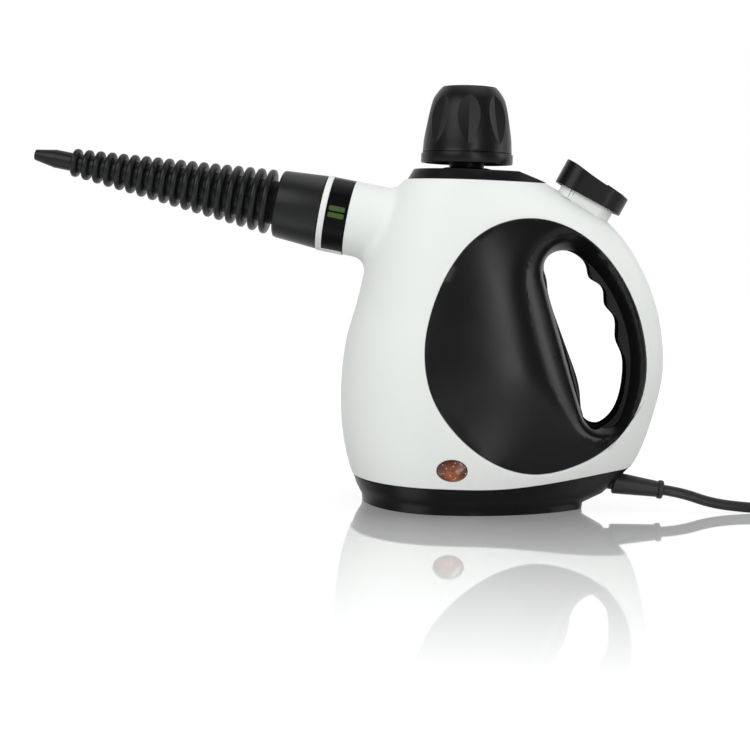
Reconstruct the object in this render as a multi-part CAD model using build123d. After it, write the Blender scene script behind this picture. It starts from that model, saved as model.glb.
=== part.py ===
from build123d import *
from math import asin, cos, pi, radians, sin, sqrt, tan
import os

# A handheld steam cleaner, in millimetres. The origin is on the floor under the boiler's axis,
# the nozzle points along -X, the grip is at +X, and the left side faces -Y.

# Body: an egg that stands on its blunt end, drawn as level slices
body_height = 175.5
body_front = 64.0
body_rear = 110.0
body_half_width = 53.0
tail_radius = 16.0
# height, front reach, half width, rear reach, tail radius
body_shares = [
    (0.0, 0.794, 0.774, 0.641, 0.75),
    (0.053, 0.85, 0.838, 0.743, 0.75),
    (0.137, 0.931, 0.921, 0.868, 0.85),
    (0.256, 0.991, 0.987, 0.947, 0.95),
    (0.39, 1.0, 1.0, 0.994, 1.0),
    (0.53, 0.953, 0.962, 0.991, 1.0),
    (0.66, 0.863, 0.891, 0.939, 1.0),
    (0.775, 0.797, 0.815, 0.849, 0.95),
    (0.88, 0.7, 0.731, 0.712, 0.85),
    (0.945, 0.62, 0.662, 0.56, 0.75),
    (1.0, 0.509, 0.585, 0.391, 0.62),
]
flank_share = 1.9
wall = 2.4
seam = 0.2
run_gap = 0.3
pin_gap = 0.05
cut_overrun = 5.0

# Seam between the white housing and the black base, seen from the side
seam_front_height = 15.0
seam_rear_height = 24.8
seam_level_end = 10.0
seam_middle_share = 0.48
seam_middle_rise_share = 0.49

# Side panel
panel_length = 115.0
panel_height_share = 0.75385
panel_centre_x = 41.0
panel_centre_share = 0.51282
panel_wall = 2.2
panel_ledge = 3.0
panel_outline_shares = [
    (-0.5, 0.038), (-0.424, 0.266), (-0.248, 0.451), (-0.052, 0.501), (0.183, 0.443),
    (0.385, 0.264), (0.491, 0.038), (0.49, -0.212), (0.374, -0.376), (0.174, -0.475),
    (0.009, -0.499), (-0.183, -0.451), (-0.357, -0.333), (-0.47, -0.181),
]

# Finger opening, with three finger rests on the grip's side
opening_width = 46.3
opening_height_share = 0.54188
opening_centre_x = 66.65
opening_centre_share = 0.52906
finger_outline_shares = [
    (-0.494, 0.37), (-0.468, 0.464), (-0.299, 0.498), (-0.144, 0.481), (-0.021, 0.436), (0.021, 0.391),
    (0.046, 0.348), (0.187, 0.301), (0.226, 0.262), (0.247, 0.193), (0.355, 0.13), (0.383, 0.075),
    (0.394, -0.005), (0.465, -0.08), (0.496, -0.183), (0.457, -0.345), (0.342, -0.453), (0.148, -0.497),
    (0.051, -0.455), (-0.029, -0.288), (-0.172, -0.085), (-0.334, 0.107), (-0.45, 0.275),
]
opening_top_x = 55.3
opening_top_share = 0.73048
opening_top_radius = 12.0
opening_low_x = 77.5
opening_low_share = 0.32479
opening_low_radius = 11.0
opening_arch_radius = 78.0
lining = 3.8
# The opening's lip rolls outwards: half depth, growth to the front, growth to the rear
roll_depth = 58.0
roll_reach = 52.0
roll_shares = [
    (0.207, 0.0, 0.0), (0.345, 0.012, 0.135), (0.483, 0.046, 0.308), (0.621, 0.112, 0.462),
    (0.759, 0.231, 0.615), (0.862, 0.5, 0.769), (1.0, 0.885, 1.0),
]

# Nozzle line: every round piece at the front is turned about it, distances run towards the tip
nozzle_tilt = 9.45
nozzle_start_x = -75.8
nozzle_start_drop = 19.5
spout_radius = 20.2
spout_mouth = -13.8
spout_depth = 36.0
spout_blend = 7.5
edge_shares = (0.1, 0.35, 0.6, 0.85)
band_length = 11.7
band_web = 2.5
band_bore_radius = 17.0
catch_radius = 15.5
catch_length = 2.5
catch_gap_angle = 44.0
catch_turn = 45.0
ring_radius = 20.5
ring_length = 3.3
connector_radius = 20.0
connector_front_radius = 18.2
connector_length = 24.7
connector_round = 1.9
sleeve_radius = 15.2
sleeve_bore_radius = 12.9
sleeve_depth = 10.6
lug_radius = 16.6
lug_length = 4.2
lug_angle = 34.0
hub_radius = 7.0
hub_depth = 1.6
socket_radius = 12.4
socket_depth = 13.3

# Spigot, the fixed steam outlet in the spout
spigot_radius = 4.9
spigot_nose_radius = 3.9
spigot_flange_radius = 7.5
spigot_flange = 1.6
spigot_tail = 20.2
spigot_nose = 18.0
spigot_bore_radius = 1.8
oring_groove_depth = 0.9
oring_width = 2.0
oring_setback = 3.0

# Ribbed nozzle
rib_count = 18
rib_pitch = 6.367
rib_first = 31.8
rib_root_radius = 17.64
rib_tip_radius = 7.77
core_root_radius = 11.8
core_tip_radius = 5.0
rib_foot = 4.0
rib_crown = 1.6
tip_length = 23.5
tip_straight = 10.0
tip_end_radius = 2.9
nozzle_bore_radius = 2.2
mouth_bore_radius = 1.4

# Base tray
lip_height = 3.5
lip_flare = 0.4
base_inset = 0.3
base_floor = 3.0
post_radius = 4.4
post_pilot_radius = 1.5
base_screw_shank_radius = 1.45
base_screw_head_radius = 2.9
base_screw_head = 2.0
base_screw_length = 22.0
base_boss_top = 38.0
base_screw_front_x = -36.0
base_screw_front_y = 21.0
base_screw_rear_x = 48.0
base_screw_rear_y = 13.5

# Housing screws, driven in from the right: x and z of each
housing_screw_x = (-50.0, -46.5, 42.0, 86.0, 102.0)
low_screw_z = 30.0
rear_screw_z = 34.0
front_screw_share = 0.60399
grip_screw_share = 0.51282
top_screw_drop = 9.5
boss_radius = 4.0
housing_screw_shank_radius = 1.3
housing_screw_pilot_radius = 1.35
housing_screw_head_radius = 2.7
housing_screw_head = 1.8
housing_screw_length = 18.0
housing_screw_head_y = 7.0
counterbore_radius = 3.1

# Boiler
boiler_radius = 36.0
boiler_wall = 1.6
boiler_bottom = 32.0
boiler_split_share = 0.50142
boiler_drop = 29.5
boiler_shoulder = 8.0
boiler_flange_radius = 42.5
boiler_flange = 2.0
gasket_thickness = 1.0
boiler_screw_circle = 39.3
boiler_screw_count = 6
boiler_screw_radius = 1.9
boiler_screw_head_radius = 3.0
boiler_screw_head = 2.4
pillar_count = 3
pillar_radius = 3.5
pillar_circle = 29.0

# Heater parts under the boiler
heater_ring_radius = 21.0
heater_tube_radius = 3.2
heater_gap_angle = 50.0
heater_sides = 8
heater_leg = 10.0
thermostat_radius = 8.0
thermostat_height = 6.0
fuse_radius = 1.9
fuse_length = 10.0
fuse_x = 0.0
fuse_y = 11.5

# Filler neck
neck_radius = 8.6
neck_bore_radius = 6.6
neck_flange_radius = 13.0
neck_flange = 2.5
neck_rise = 6.1
neck_stub = 6.5
neck_nut_radius = 12.0
neck_nut = 3.0

# Top plate
plate_height = 5.6
plate_front = 31.5
plate_half_width = 30.0
plate_rear = 42.9
plate_tail_radius = 10.0
plate_bevel = 3.2
plate_slope_start = 27.9
plate_slope_drop = 5.2
plate_collar_radius = 11.2
plate_collar_foot_radius = 17.0
plate_collar_height = 1.4
plate_hole_radius = 9.8

# Cap
cap_rim_radius = 24.66
cap_rim_rise = 9.2
cap_rim_height = 5.3
cap_groove = 0.5
cap_height = 40.7
# radius and height of the dome's outline
cap_profile_shares = [(0.95, 0.33), (0.915, 0.5), (0.84, 0.73), (0.75, 0.865), (0.645, 0.955), (0.53, 1.0)]
cap_shoulder_share = 0.985
cap_room_share = 0.62
cap_wall = 2.2
cap_hub_radius = 15.0
cap_press = 1.8
flute_count = 8
flute_low_rise = 10.3
flute_high_rise = 34.8
flute_low_radius = 23.6
flute_high_radius = 18.4
flute_angle = 150.0
flute_turn = 6.5
core_plug_radius = 6.55
core_plug_depth = 11.0
core_flange_radius = 9.4
core_flange = 3.0
core_drum_radius = 13.0
core_drum_rise = 21.3
seal_thickness = 1.0
seal_clearance = 0.15
cap_spring_outer = 8.0
cap_spring_inner = 7.0

# Steam button, on the slope behind the top plate
button_x = 65.2
button_drop = 7.5
button_slope = 26.6
button_length = 38.7
button_width = 24.0
button_front_height = 13.7
button_rear_height = 9.7
button_wall = 1.8
button_roof = 2.0
button_dish_radius = 150.0
button_dish_depth = 0.6
collar_length = 31.0
collar_width = 17.0
collar_wall = 1.8
collar_top = 4.5
collar_depth = 7.0
collar_floor = 2.0
pivot_forward = 9.0
pivot_height = 3.0
pivot_radius = 1.0
lug_thickness = 2.0
lug_offset = 3.4
lug_half_width = 2.6
slider_length = 10.0
slider_width = 9.0
slider_proud = 0.5
slider_depth = 1.0
slider_setback = 3.6
slider_travel = 4.0

# Steam valve under the button
stem_radius = 1.5
stem_head_radius = 2.4
stem_head = 1.6
stem_in_body = 6.0
press_boss_radius = 3.0
press_x = 2.0
press_z = 1.5
valve_spring_outer = 2.4
valve_spring_inner = 1.8
valve_guide_outer = 5.0
valve_guide_inner = 3.0
valve_radius = 6.4
valve_bottom_drop = 32.6
valve_top_drop = 24.0
valve_bore_depth = 7.0
tube_radius = 2.2
tube_bore_radius = 1.4
elbow_radius = 5.0
outlet_port_reach = 5.0
outlet_turn = 135.0
tube_sides = 6
tube_port_drop = 27.5
boiler_port_x = 22.0
boiler_port_radius = 4.0
boiler_port_height = 3.5
inlet_rise = 10.5
inlet_flat_end = 46.0
inlet_drop_end = 50.5
# the outlet tube's corners over the boiler: x, y and how far under the body's top
outlet_corners = [(52.0, 13.0, 18.5), (0.0, 17.0, 17.5), (-21.0, 11.0, 19.0)]
outlet_run = 12.0

# Indicator lens and lamp
lens_x = -0.8
lens_z = 25.4
lens_length = 15.6
lens_height = 11.6
lens_proud = 0.5
lens_lip = 1.5
lens_lip_thickness = 1.2
lamp_radius = 3.0
lamp_length = 12.0
lamp_holder = 5.0
lamp_face_y = 43.4

# Cord, its relief and what holds it inside
cord_radius = 2.9
relief_x = 84.3
relief_z = 14.85
relief_slope = 6.1
relief_root_radius = 6.1
relief_end_radius = 4.35
relief_length = 26.8
relief_flange_radius = 5.1
relief_flange = 2.8
relief_shank_radius = 4.8
relief_shank = 14.0
relief_groove_radius = 3.9
relief_root_start = 2.0
lead_inside = 26.0
clamp_length = 12.0
clamp_width = 22.0
clamp_thickness = 3.0
clamp_back = 21.0
terminal_x = 33.0
terminal_length = 22.0
terminal_width = 12.0
terminal_height = 9.0
terminal_ways = 3
terminal_hole_radius = 1.6

# Free cord: the route's corners, chosen by hand, and the coil that the rest is wound into
cord_first_run = 10.3
cord_route = [(141.0, 2.0, 5.0), (163.0, 5.0, 2.95), (188.0, 5.0, 2.9)]
corner_run_share = 0.45
coil_x = 214.0
coil_outer_radius = 44.0
coil_end_run = 5.8
coil_pitch = 6.3
coil_lower_halves = 6
coil_upper_halves = 7
coil_layer_rise = 6.3
coil_sides = 6
coil_tail_radius = 40.0
coil_tail_turn = 30.0

# Mains plug with two flat blades
plug_length = 30.0
plug_width = 26.0
plug_height = 18.0
plug_neck = 12.0
plug_neck_radius = 4.6
plug_round = 3.5
blade_length = 16.0
blade_width = 6.3
blade_thickness = 1.5
blade_spacing = 12.7

# Heights that follow the body's height
panel_height = panel_height_share * body_height
panel_centre_z = panel_centre_share * body_height
opening_height = opening_height_share * body_height
opening_centre_z = opening_centre_share * body_height
opening_top_z = opening_top_share * body_height
opening_low_z = opening_low_share * body_height
nozzle_start_z = body_height - nozzle_start_drop
boiler_split = boiler_split_share * body_height
boiler_top = body_height - boiler_drop
neck_top = body_height + neck_rise
cap_rim_z = body_height + cap_rim_rise
cap_top = cap_rim_z + cap_height
flute_low_z = cap_rim_z + flute_low_rise
flute_high_z = cap_rim_z + flute_high_rise
core_drum_top = cap_rim_z + core_drum_rise
button_z = body_height - button_drop
valve_bottom = body_height - valve_bottom_drop
valve_top = body_height - valve_top_drop
tube_port_z = body_height - tube_port_drop
outlet_route = [(x, y, body_height - drop) for x, y, drop in outlet_corners]
housing_screw_z = (
    low_screw_z,
    front_screw_share * body_height,
    body_height - top_screw_drop,
    rear_screw_z,
    grip_screw_share * body_height,
)

left_side = Pos(0, -body_rear, 0) * Box(4 * body_rear, 2 * body_rear, 4 * body_height)
nozzle_frame = Plane(
    origin=(nozzle_start_x, 0, nozzle_start_z),
    x_dir=(0, 1, 0),
    z_dir=(-cos(radians(nozzle_tilt)), 0, sin(radians(nozzle_tilt))),
)
button_frame = Plane(
    origin=(button_x, 0, button_z),
    x_dir=(cos(radians(button_slope)), 0, -sin(radians(button_slope))),
    z_dir=(sin(radians(button_slope)), 0, cos(radians(button_slope))),
)
relief_frame = Plane(
    origin=(relief_x, 0, relief_z),
    x_dir=(0, 1, 0),
    z_dir=(cos(radians(relief_slope)), 0, -sin(radians(relief_slope))),
)
band_end = spout_mouth + band_length
ring_end = band_end + ring_length
connector_start = ring_end + run_gap
connector_end = connector_start + connector_length
hub_start = connector_start - hub_depth
socket_floor = connector_end - socket_depth
last_rib = rib_first + (rib_count - 1) * rib_pitch
tip_start = last_rib + rib_foot / 2
nozzle_end = tip_start + tip_length - rib_foot / 2
screw_point_y = housing_screw_head_y - housing_screw_length
core_flange_bottom = neck_top + run_gap + seal_thickness + 2 * pin_gap
core_flange_top = core_flange_bottom + core_flange
hub_bore_radius = spigot_nose_radius + 2 * pin_gap
stem_x = button_x + press_x * cos(radians(button_slope)) + press_z * sin(radians(button_slope))
press_face_z = button_z - press_x * sin(radians(button_slope)) + press_z * cos(radians(button_slope))
stem_top_z = press_face_z - stem_head_radius * tan(radians(button_slope)) - run_gap
guide_top_z = stem_top_z - collar_depth + collar_floor


def turned(points):
    """A solid of revolution about Z from (radius, height) points."""
    return revolve(make_face(Polyline([(r, 0, z) for r, z in points], close=True)), Axis.Z)


def tube(outer, inner, low, high):
    """An upright tube."""
    return turned([(inner, low), (outer, low), (outer, high), (inner, high)])


def rod(radius, low, high):
    """An upright cylinder."""
    return Pos(0, 0, (low + high) / 2) * Cylinder(radius, high - low)


def along_y(radius, x, z, low, high):
    """A cylinder that runs from low to high along Y."""
    return Pos(x, (low + high) / 2, z) * Rot(90, 0, 0) * Cylinder(radius, high - low)


def block(x0, x1, y0, y1, z0, z1):
    """A box between two corners."""
    return Pos((x0 + x1) / 2, (y0 + y1) / 2, (z0 + z1) / 2) * Box(x1 - x0, y1 - y0, z1 - z0)


def slot(length, width, low, high):
    """An upright bar with round ends."""
    return extrude(Pos(0, 0, low) * SlotOverall(length, width), high - low)


def mirrored(shape):
    """The same piece on the other side of the mid-plane."""
    return mirror(shape, about=Plane.XZ)


def egg_slice(front, half_width, rear, tail, inset, height):
    """A level egg: a nose arc, two long flank arcs and a tail arc, all tangent."""
    nose_x = half_width - front
    tail_x = rear - tail
    apart = tail_x - nose_x
    flank = flank_share * (front + rear) / 2
    along = ((flank - half_width) ** 2 - (flank - tail) ** 2 + apart**2) / (2 * apart)
    across = sqrt((flank - half_width) ** 2 - along**2)
    nose = Vector(nose_x, 0)
    end = Vector(tail_x, 0)
    flank_centre = Vector(nose_x + along, -across)
    start = nose + (nose - flank_centre).normalized() * (half_width - inset)
    stop = end + (end - flank_centre).normalized() * (tail - inset)
    middle = flank_centre + ((start + stop) / 2 - flank_centre).normalized() * (flank - inset)
    start_low, stop_low, middle_low = [Vector(p.X, -p.Y) for p in (start, stop, middle)]
    edges = [
        ThreePointArc(start_low, (inset - front, 0), start),
        ThreePointArc(start, middle, stop),
        ThreePointArc(stop, (rear - inset, 0), stop_low),
        ThreePointArc(stop_low, middle_low, start_low),
    ]
    return Pos(0, 0, height) * Face(Wire(edges))


def body_row(share):
    """The body's sizes at a share of its height, between the listed slices."""
    for low, high in zip(body_shares, body_shares[1:]):
        if share <= high[0]:
            mix = (share - low[0]) / (high[0] - low[0])
            return tuple(a + (b - a) * mix for a, b in zip(low, high))
    return body_shares[-1]


def body_slice(row, inset):
    height, front, half_width, rear, tail = row
    return egg_slice(
        front * body_front,
        half_width * body_half_width,
        rear * body_rear,
        tail * tail_radius,
        inset,
        height * body_height,
    )


def body_form(inset, ruled=True):
    """The whole body as one block, drawn in by inset; the skins inside are ruled and plainer."""
    rows = body_shares[::2] if ruled else body_shares
    return loft([body_slice(row, inset) for row in rows], ruled=ruled)


def hollow_form(inset):
    """The space inside a wall, with a roof as thick as the wall."""
    return body_form(inset) - block(
        -body_rear, body_rear, -body_rear, body_rear, body_height - inset, 2 * body_height
    )


def above_seam(drop):
    """Everything above the seam line between the housing and the base."""
    seam_end = body_rear + cut_overrun
    seam_run = seam_end - seam_level_end
    rise = seam_rear_height - seam_front_height
    start = (-body_rear, 0, seam_front_height - drop)
    level = (seam_level_end, 0, seam_front_height - drop)
    middle = (
        seam_level_end + seam_middle_share * seam_run,
        0,
        seam_front_height - drop + seam_middle_rise_share * rise,
    )
    end = (seam_end, 0, seam_rear_height - drop)
    top_end = (seam_end, 0, 2 * body_height)
    top_start = (-body_rear, 0, 2 * body_height)
    curve = Spline(level, middle, end, tangents=((1, 0, 0), (1, 0, 0)))
    sides = [Line(end, top_end), Line(top_end, top_start), Line(top_start, start)]
    outline = Face(Wire([Line(start, level), curve, *sides]))
    return extrude(outline, body_rear, dir=(0, 1, 0), both=True)


def panel_outline(grow):
    """The side panel's outline, pushed out from its middle by grow."""
    points = []
    for x_share, z_share in panel_outline_shares:
        spoke = Vector(x_share * panel_length, 0, z_share * panel_height)
        spoke = spoke + spoke.normalized() * grow
        points.append(Vector(panel_centre_x, 0, panel_centre_z) + spoke)
    return Face(Wire([Spline(points, periodic=True)]))


def panel_block(grow):
    return extrude(panel_outline(grow), body_rear, dir=(0, 1, 0), both=True)


def finger_block():
    """The finger opening, cut right through."""
    points = [
        (opening_centre_x + x_share * opening_width, 0, opening_centre_z + z_share * opening_height)
        for x_share, z_share in finger_outline_shares
    ]
    return extrude(Face(Wire([Spline(points, periodic=True)])), body_rear, dir=(0, 1, 0), both=True)


def opening_oval(depth, grow, shift):
    """The opening without its finger rests: two end arcs, a straight front and an arched rear."""
    top = Vector(opening_top_x, 0, opening_top_z)
    low = Vector(opening_low_x, 0, opening_low_z)
    down = (low - top).normalized()
    rearward = Vector(-down.Z, 0, down.X)
    top = top + rearward * shift
    low = low + rearward * shift
    top_radius = opening_top_radius + grow
    low_radius = opening_low_radius + grow
    arch = opening_arch_radius + grow
    apart = (low - top).length
    lean = asin((top_radius - low_radius) / apart)
    forward = down * sin(lean) - rearward * cos(lean)
    front_top = top + forward * top_radius
    front_low = low + forward * low_radius
    along = ((arch - top_radius) ** 2 - (arch - low_radius) ** 2 + apart**2) / (2 * apart)
    across = sqrt((arch - top_radius) ** 2 - along**2)
    arch_centre = top + down * along - rearward * across
    rear_top = top + (top - arch_centre).normalized() * top_radius
    rear_low = low + (low - arch_centre).normalized() * low_radius
    rear_middle = arch_centre + ((rear_top + rear_low) / 2 - arch_centre).normalized() * arch
    crown = top - down * top_radius
    foot = low + down * low_radius
    front_top, crown, rear_top, rear_middle, rear_low, foot, front_low = [
        (p.X, -depth, p.Z) for p in (front_top, crown, rear_top, rear_middle, rear_low, foot, front_low)
    ]
    return Wire(
        [
            ThreePointArc(front_top, crown, rear_top),
            ThreePointArc(rear_top, rear_middle, rear_low),
            ThreePointArc(rear_low, foot, front_low),
            Line(front_low, front_top),
        ]
    )


def lip_roll(extra):
    """What the rolled lip takes off the left side, pushed out by extra."""
    wires = []
    for depth, front, rear in roll_shares:
        grow = (front + rear) / 2 * roll_reach + extra
        wires.append(opening_oval(depth * roll_depth, grow, (rear - front) / 2 * roll_reach))
    return Solid.make_loft(wires)


def lining_block(grow):
    """The opening's lining from outside, cut right through."""
    return extrude(Face(opening_oval(0, grow, 0)), body_rear, dir=(0, 1, 0), both=True)


def spout(radius, start, end):
    return nozzle_frame.location * rod(radius, start, end)


def runs_round_spout(edge):
    """Whether an edge is the line where the spout enters the body."""
    spots = [nozzle_frame.to_local_coords(edge.position_at(share)) for share in edge_shares]
    on_skin = all(abs(sqrt(p.X**2 + p.Y**2) - spout_radius) < pin_gap for p in spots)
    return on_skin and edge.geom_type == GeomType.BSPLINE


def body_with_spout():
    """The body's block with the spout on it, run together by a soft round."""
    joined = body_form(0, ruled=False) + spout(spout_radius, spout_mouth - spout_depth, spout_mouth)
    entry = [edge for edge in joined.edges() if runs_round_spout(edge)]
    return fillet(entry, spout_blend)


def make_side_panel():
    """The left panel: a skin over the side, rolled into the opening and lined to the mid-plane."""
    skin = (body_form(0, ruled=False) & left_side) & panel_block(0)
    skin = skin - lip_roll(0) - finger_block()
    inside = (body_form(panel_wall) & left_side) - lip_roll(panel_wall) - lining_block(lining)
    return skin - inside


def housing_bosses():
    """Screw bosses across the mid-plane, left half."""
    bosses = [
        along_y(boss_radius, x, z, -body_half_width, 0) for x, z in zip(housing_screw_x, housing_screw_z)
    ]
    return Part() + bosses


def base_screw_places():
    places = []
    for x, y in ((base_screw_front_x, base_screw_front_y), (base_screw_rear_x, base_screw_rear_y)):
        places.append((x, y))
        places.append((x, -y))
    return places


def seam_height(x):
    """Height of the seam line above the floor, near enough for a post's top."""
    run = body_rear + cut_overrun - seam_level_end
    share = max(0, x - seam_level_end) / run
    return seam_front_height + (seam_rear_height - seam_front_height) * share**2


def make_housing_half():
    """The left half before its own details: skin, spout, ledge for the panel and bosses."""
    outside = body_with_spout() & left_side
    recess = panel_block(seam) - body_form(wall)
    outside = outside - recess
    ledge = panel_block(seam + wall) - body_form(2 * wall)
    hollow = (hollow_form(wall) & left_side) - ledge
    bosses = housing_bosses() & (outside & hollow)
    for x, y in base_screw_places():
        if y < 0:
            foot_low = seam_height(x) + seam
            post = Pos(x, y, 0) * rod(post_radius, foot_low, base_boss_top)
            web = block(x - wall / 2, x + wall / 2, -body_half_width, y, foot_low, base_boss_top)
            bosses = bosses + ((post + web) & hollow)
    half = (outside - hollow) + bosses
    half = half - panel_block(-panel_ledge) - (lip_roll(panel_wall + seam) & panel_block(seam))
    half = half - lining_block(lining + seam)
    bore_start = spout_mouth - spout_depth - cut_overrun
    half = half - spout(spout_radius - wall, bore_start, spout_mouth + cut_overrun)
    half = half & above_seam(0)
    half = half - rod(neck_flange_radius + run_gap, boiler_top, 2 * body_height)
    half = half - button_frame.location * slot(
        collar_length + seam, collar_width + seam, -collar_depth - cut_overrun, button_front_height
    )
    for x, y in base_screw_places():
        half = half - Pos(x, y, 0) * rod(post_pilot_radius, 0, base_screw_length + pin_gap)
    return half


def make_housing_left(half):
    """The left half takes the screws' points and the indicator lens."""
    left = half
    for x, z in zip(housing_screw_x, housing_screw_z):
        left = left - along_y(housing_screw_pilot_radius, x, z, screw_point_y - pin_gap, cut_overrun)
    window = extrude(lens_face(seam), body_half_width, dir=(0, -1, 0))
    return left - window


def make_housing_right(half):
    """The right half has the screws' shank holes and the wells for their heads."""
    right = mirrored(half)
    for x, z in zip(housing_screw_x, housing_screw_z):
        right = right - along_y(housing_screw_pilot_radius, x, z, -cut_overrun, housing_screw_head_y)
        well_end = body_half_width + cut_overrun
        right = right - along_y(counterbore_radius, x, z, housing_screw_head_y, well_end)
    return right


def make_housing_screws():
    screws = []
    for x, z in zip(housing_screw_x, housing_screw_z):
        shank = along_y(housing_screw_shank_radius, x, z, screw_point_y, housing_screw_head_y)
        top = housing_screw_head_y + housing_screw_head
        screws.append(shank + along_y(housing_screw_head_radius, x, z, housing_screw_head_y, top))
    return screws


def base_form(inset, low, high):
    """The base's block: an upright lip, then the body's own slope."""
    foot = body_row(0)
    lip = (
        lip_height / body_height,
        foot[1] + lip_flare / body_front,
        foot[2] + lip_flare / body_half_width,
        foot[3] + lip_flare / body_rear,
        foot[4],
    )
    rows = [foot, lip, body_shares[1], body_shares[2], body_row(2 * seam_front_height / body_height)]
    block_form = loft([body_slice(row, inset) for row in rows], ruled=True)
    return block_form & block(-body_rear, 2 * body_rear, -body_rear, body_rear, low, high)


def make_base_tray():
    """The tray with its floor, screw posts, boiler pillars, lamp post and the cord's way out."""
    high = 2 * seam_front_height
    tray = base_form(base_inset, 0, high) - base_form(base_inset + wall, base_floor, high)
    for x, y in base_screw_places():
        tray = tray + Pos(x, y, 0) * rod(post_radius, 0, seam_height(x))
    tray = tray - above_seam(seam)
    for turn in range(pillar_count):
        place = Rot(0, 0, 180 + turn * 360 / pillar_count) * Pos(pillar_circle, 0, 0)
        tray = tray + place * rod(pillar_radius, 0, boiler_bottom - seam)
    clamp_end = relief_frame.location * Pos(0, 0, -clamp_back)
    clamp_x = clamp_end.position.X
    saddle_top = clamp_end.position.Z - cord_radius
    saddle = block(clamp_x - clamp_length / 2, clamp_x + clamp_length / 2,
                   -clamp_width / 2, clamp_width / 2, base_floor / 2, saddle_top)
    tray = tray + (saddle & base_form(wall, 0, high))
    for x, y in base_screw_places():
        tray = tray - Pos(x, y, 0) * rod(base_screw_shank_radius + pin_gap, 0, high)
        tray = tray - Pos(x, y, 0) * rod(base_screw_head_radius + seam, 0, base_screw_head + seam)
    way_out = relief_frame.location * rod(relief_groove_radius + pin_gap, -clamp_back, relief_shank)
    mouth = relief_frame.location * rod(relief_root_radius + seam, relief_root_start - pin_gap, relief_length)
    return tray - way_out - mouth


def make_base_screws():
    screws = []
    for x, y in base_screw_places():
        head = rod(base_screw_head_radius, seam, base_screw_head + seam)
        screws.append(Pos(x, y, 0) * (head + rod(base_screw_shank_radius, base_screw_head, base_screw_length)))
    return screws


def make_top_plate():
    """Bevelled plate on the flat top, sloped down at its tail, with a low collar round the neck."""
    sizes = (plate_front, plate_half_width, plate_rear, plate_tail_radius)
    low = egg_slice(*sizes, 0, body_height)
    high = egg_slice(*sizes, plate_bevel, body_height + plate_height)
    plate = loft([low, high], ruled=True)
    slope_run = plate_rear - plate_slope_start
    slope = Plane(
        origin=(plate_slope_start, 0, body_height + plate_height),
        x_dir=(slope_run, 0, -plate_slope_drop),
        z_dir=(plate_slope_drop, 0, slope_run),
    )
    plate = plate - slope.location * block(
        -slope_run, 2 * slope_run, -plate_half_width, plate_half_width, 0, 2 * plate_height
    )
    floor = body_height + plate_height
    top = floor + plate_collar_height
    plate = plate + turned([(0, body_height), (plate_collar_foot_radius, body_height),
                            (plate_collar_foot_radius, floor), (plate_collar_radius, top), (0, top)])
    return plate - rod(plate_hole_radius, 0, 2 * body_height)


def make_cap_shell():
    """Thin cup with a rim band, a groove, eight pointed flutes and a guide tube inside."""
    rise = cap_top - cap_rim_z
    band_top = cap_rim_z + cap_rim_height
    outline = [(r * cap_rim_radius, cap_rim_z + z * rise) for r, z in cap_profile_shares]
    shoulder = cap_shoulder_share * cap_rim_radius
    cup = turned([
        (0, cap_rim_z), (cap_rim_radius, cap_rim_z), (cap_rim_radius, band_top),
        (shoulder - cap_groove, band_top), (shoulder - cap_groove, band_top + cap_groove),
        (shoulder, band_top + cap_groove), *outline, (0, cap_top),
    ])
    room_radius = cap_room_share * cap_rim_radius
    cup = cup - turned([
        (0, cap_rim_z - cut_overrun), (cap_rim_radius - cap_wall, cap_rim_z - cut_overrun),
        (cap_rim_radius - cap_wall, band_top), (room_radius, cap_top - cap_wall), (0, cap_top - cap_wall),
    ])
    for turn in range(flute_count):
        cup = cup - Rot(0, 0, flute_turn + turn * 360 / flute_count) * flute_cutter()
    hub_low = core_flange_top + cap_press + run_gap
    hub = tube(cap_hub_radius, core_drum_radius + run_gap, hub_low, cap_top - cap_wall)
    return cup + hub


def flute_cutter():
    """A blunt wedge whose inner edge is a straight chord of the dome, so each cut ends in two points."""
    spread = tan(radians(flute_angle / 2))
    reach = cap_rim_radius
    sections = []
    run = flute_high_z - flute_low_z
    lean = (flute_high_radius - flute_low_radius) / run
    for z in (flute_low_z - run, flute_high_z + run):
        r = flute_low_radius + lean * (z - flute_low_z)
        points = [(r, 0, z), (r + reach, -reach * spread, z), (r + reach, reach * spread, z)]
        sections.append(make_face(Polyline(points, close=True)))
    return loft(sections, ruled=True)


def make_cap_core():
    """Threaded plug, flange and drum, in one moulding."""
    drum_start = core_flange_bottom + core_flange
    return turned([
        (0, neck_top - core_plug_depth), (core_plug_radius, neck_top - core_plug_depth),
        (core_plug_radius, core_flange_bottom), (core_flange_radius, core_flange_bottom),
        (core_flange_radius, drum_start), (core_drum_radius, drum_start),
        (core_drum_radius, core_drum_top), (0, core_drum_top),
    ])


def make_cap_seal():
    inner = core_plug_radius + seal_clearance
    return tube(neck_radius, inner, neck_top + run_gap, neck_top + run_gap + seal_thickness)


def make_cap_spring():
    return tube(cap_spring_outer, cap_spring_inner, core_drum_top, cap_top - cap_wall - seam)


def make_filler_neck():
    """Brass neck: flange on the boiler, stub through its roof, bore for the cap's plug."""
    return turned([
        (neck_bore_radius, boiler_top - boiler_wall - neck_stub),
        (neck_radius, boiler_top - boiler_wall - neck_stub), (neck_radius, boiler_top),
        (neck_flange_radius, boiler_top), (neck_flange_radius, boiler_top + neck_flange),
        (neck_radius, boiler_top + neck_flange), (neck_radius, neck_top), (neck_bore_radius, neck_top),
    ])


def make_neck_nut():
    high = boiler_top - boiler_wall
    nut = extrude(Pos(0, 0, high - neck_nut) * RegularPolygon(neck_nut_radius, 6), neck_nut)
    return nut - rod(neck_radius + pin_gap, 0, body_height)


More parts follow.
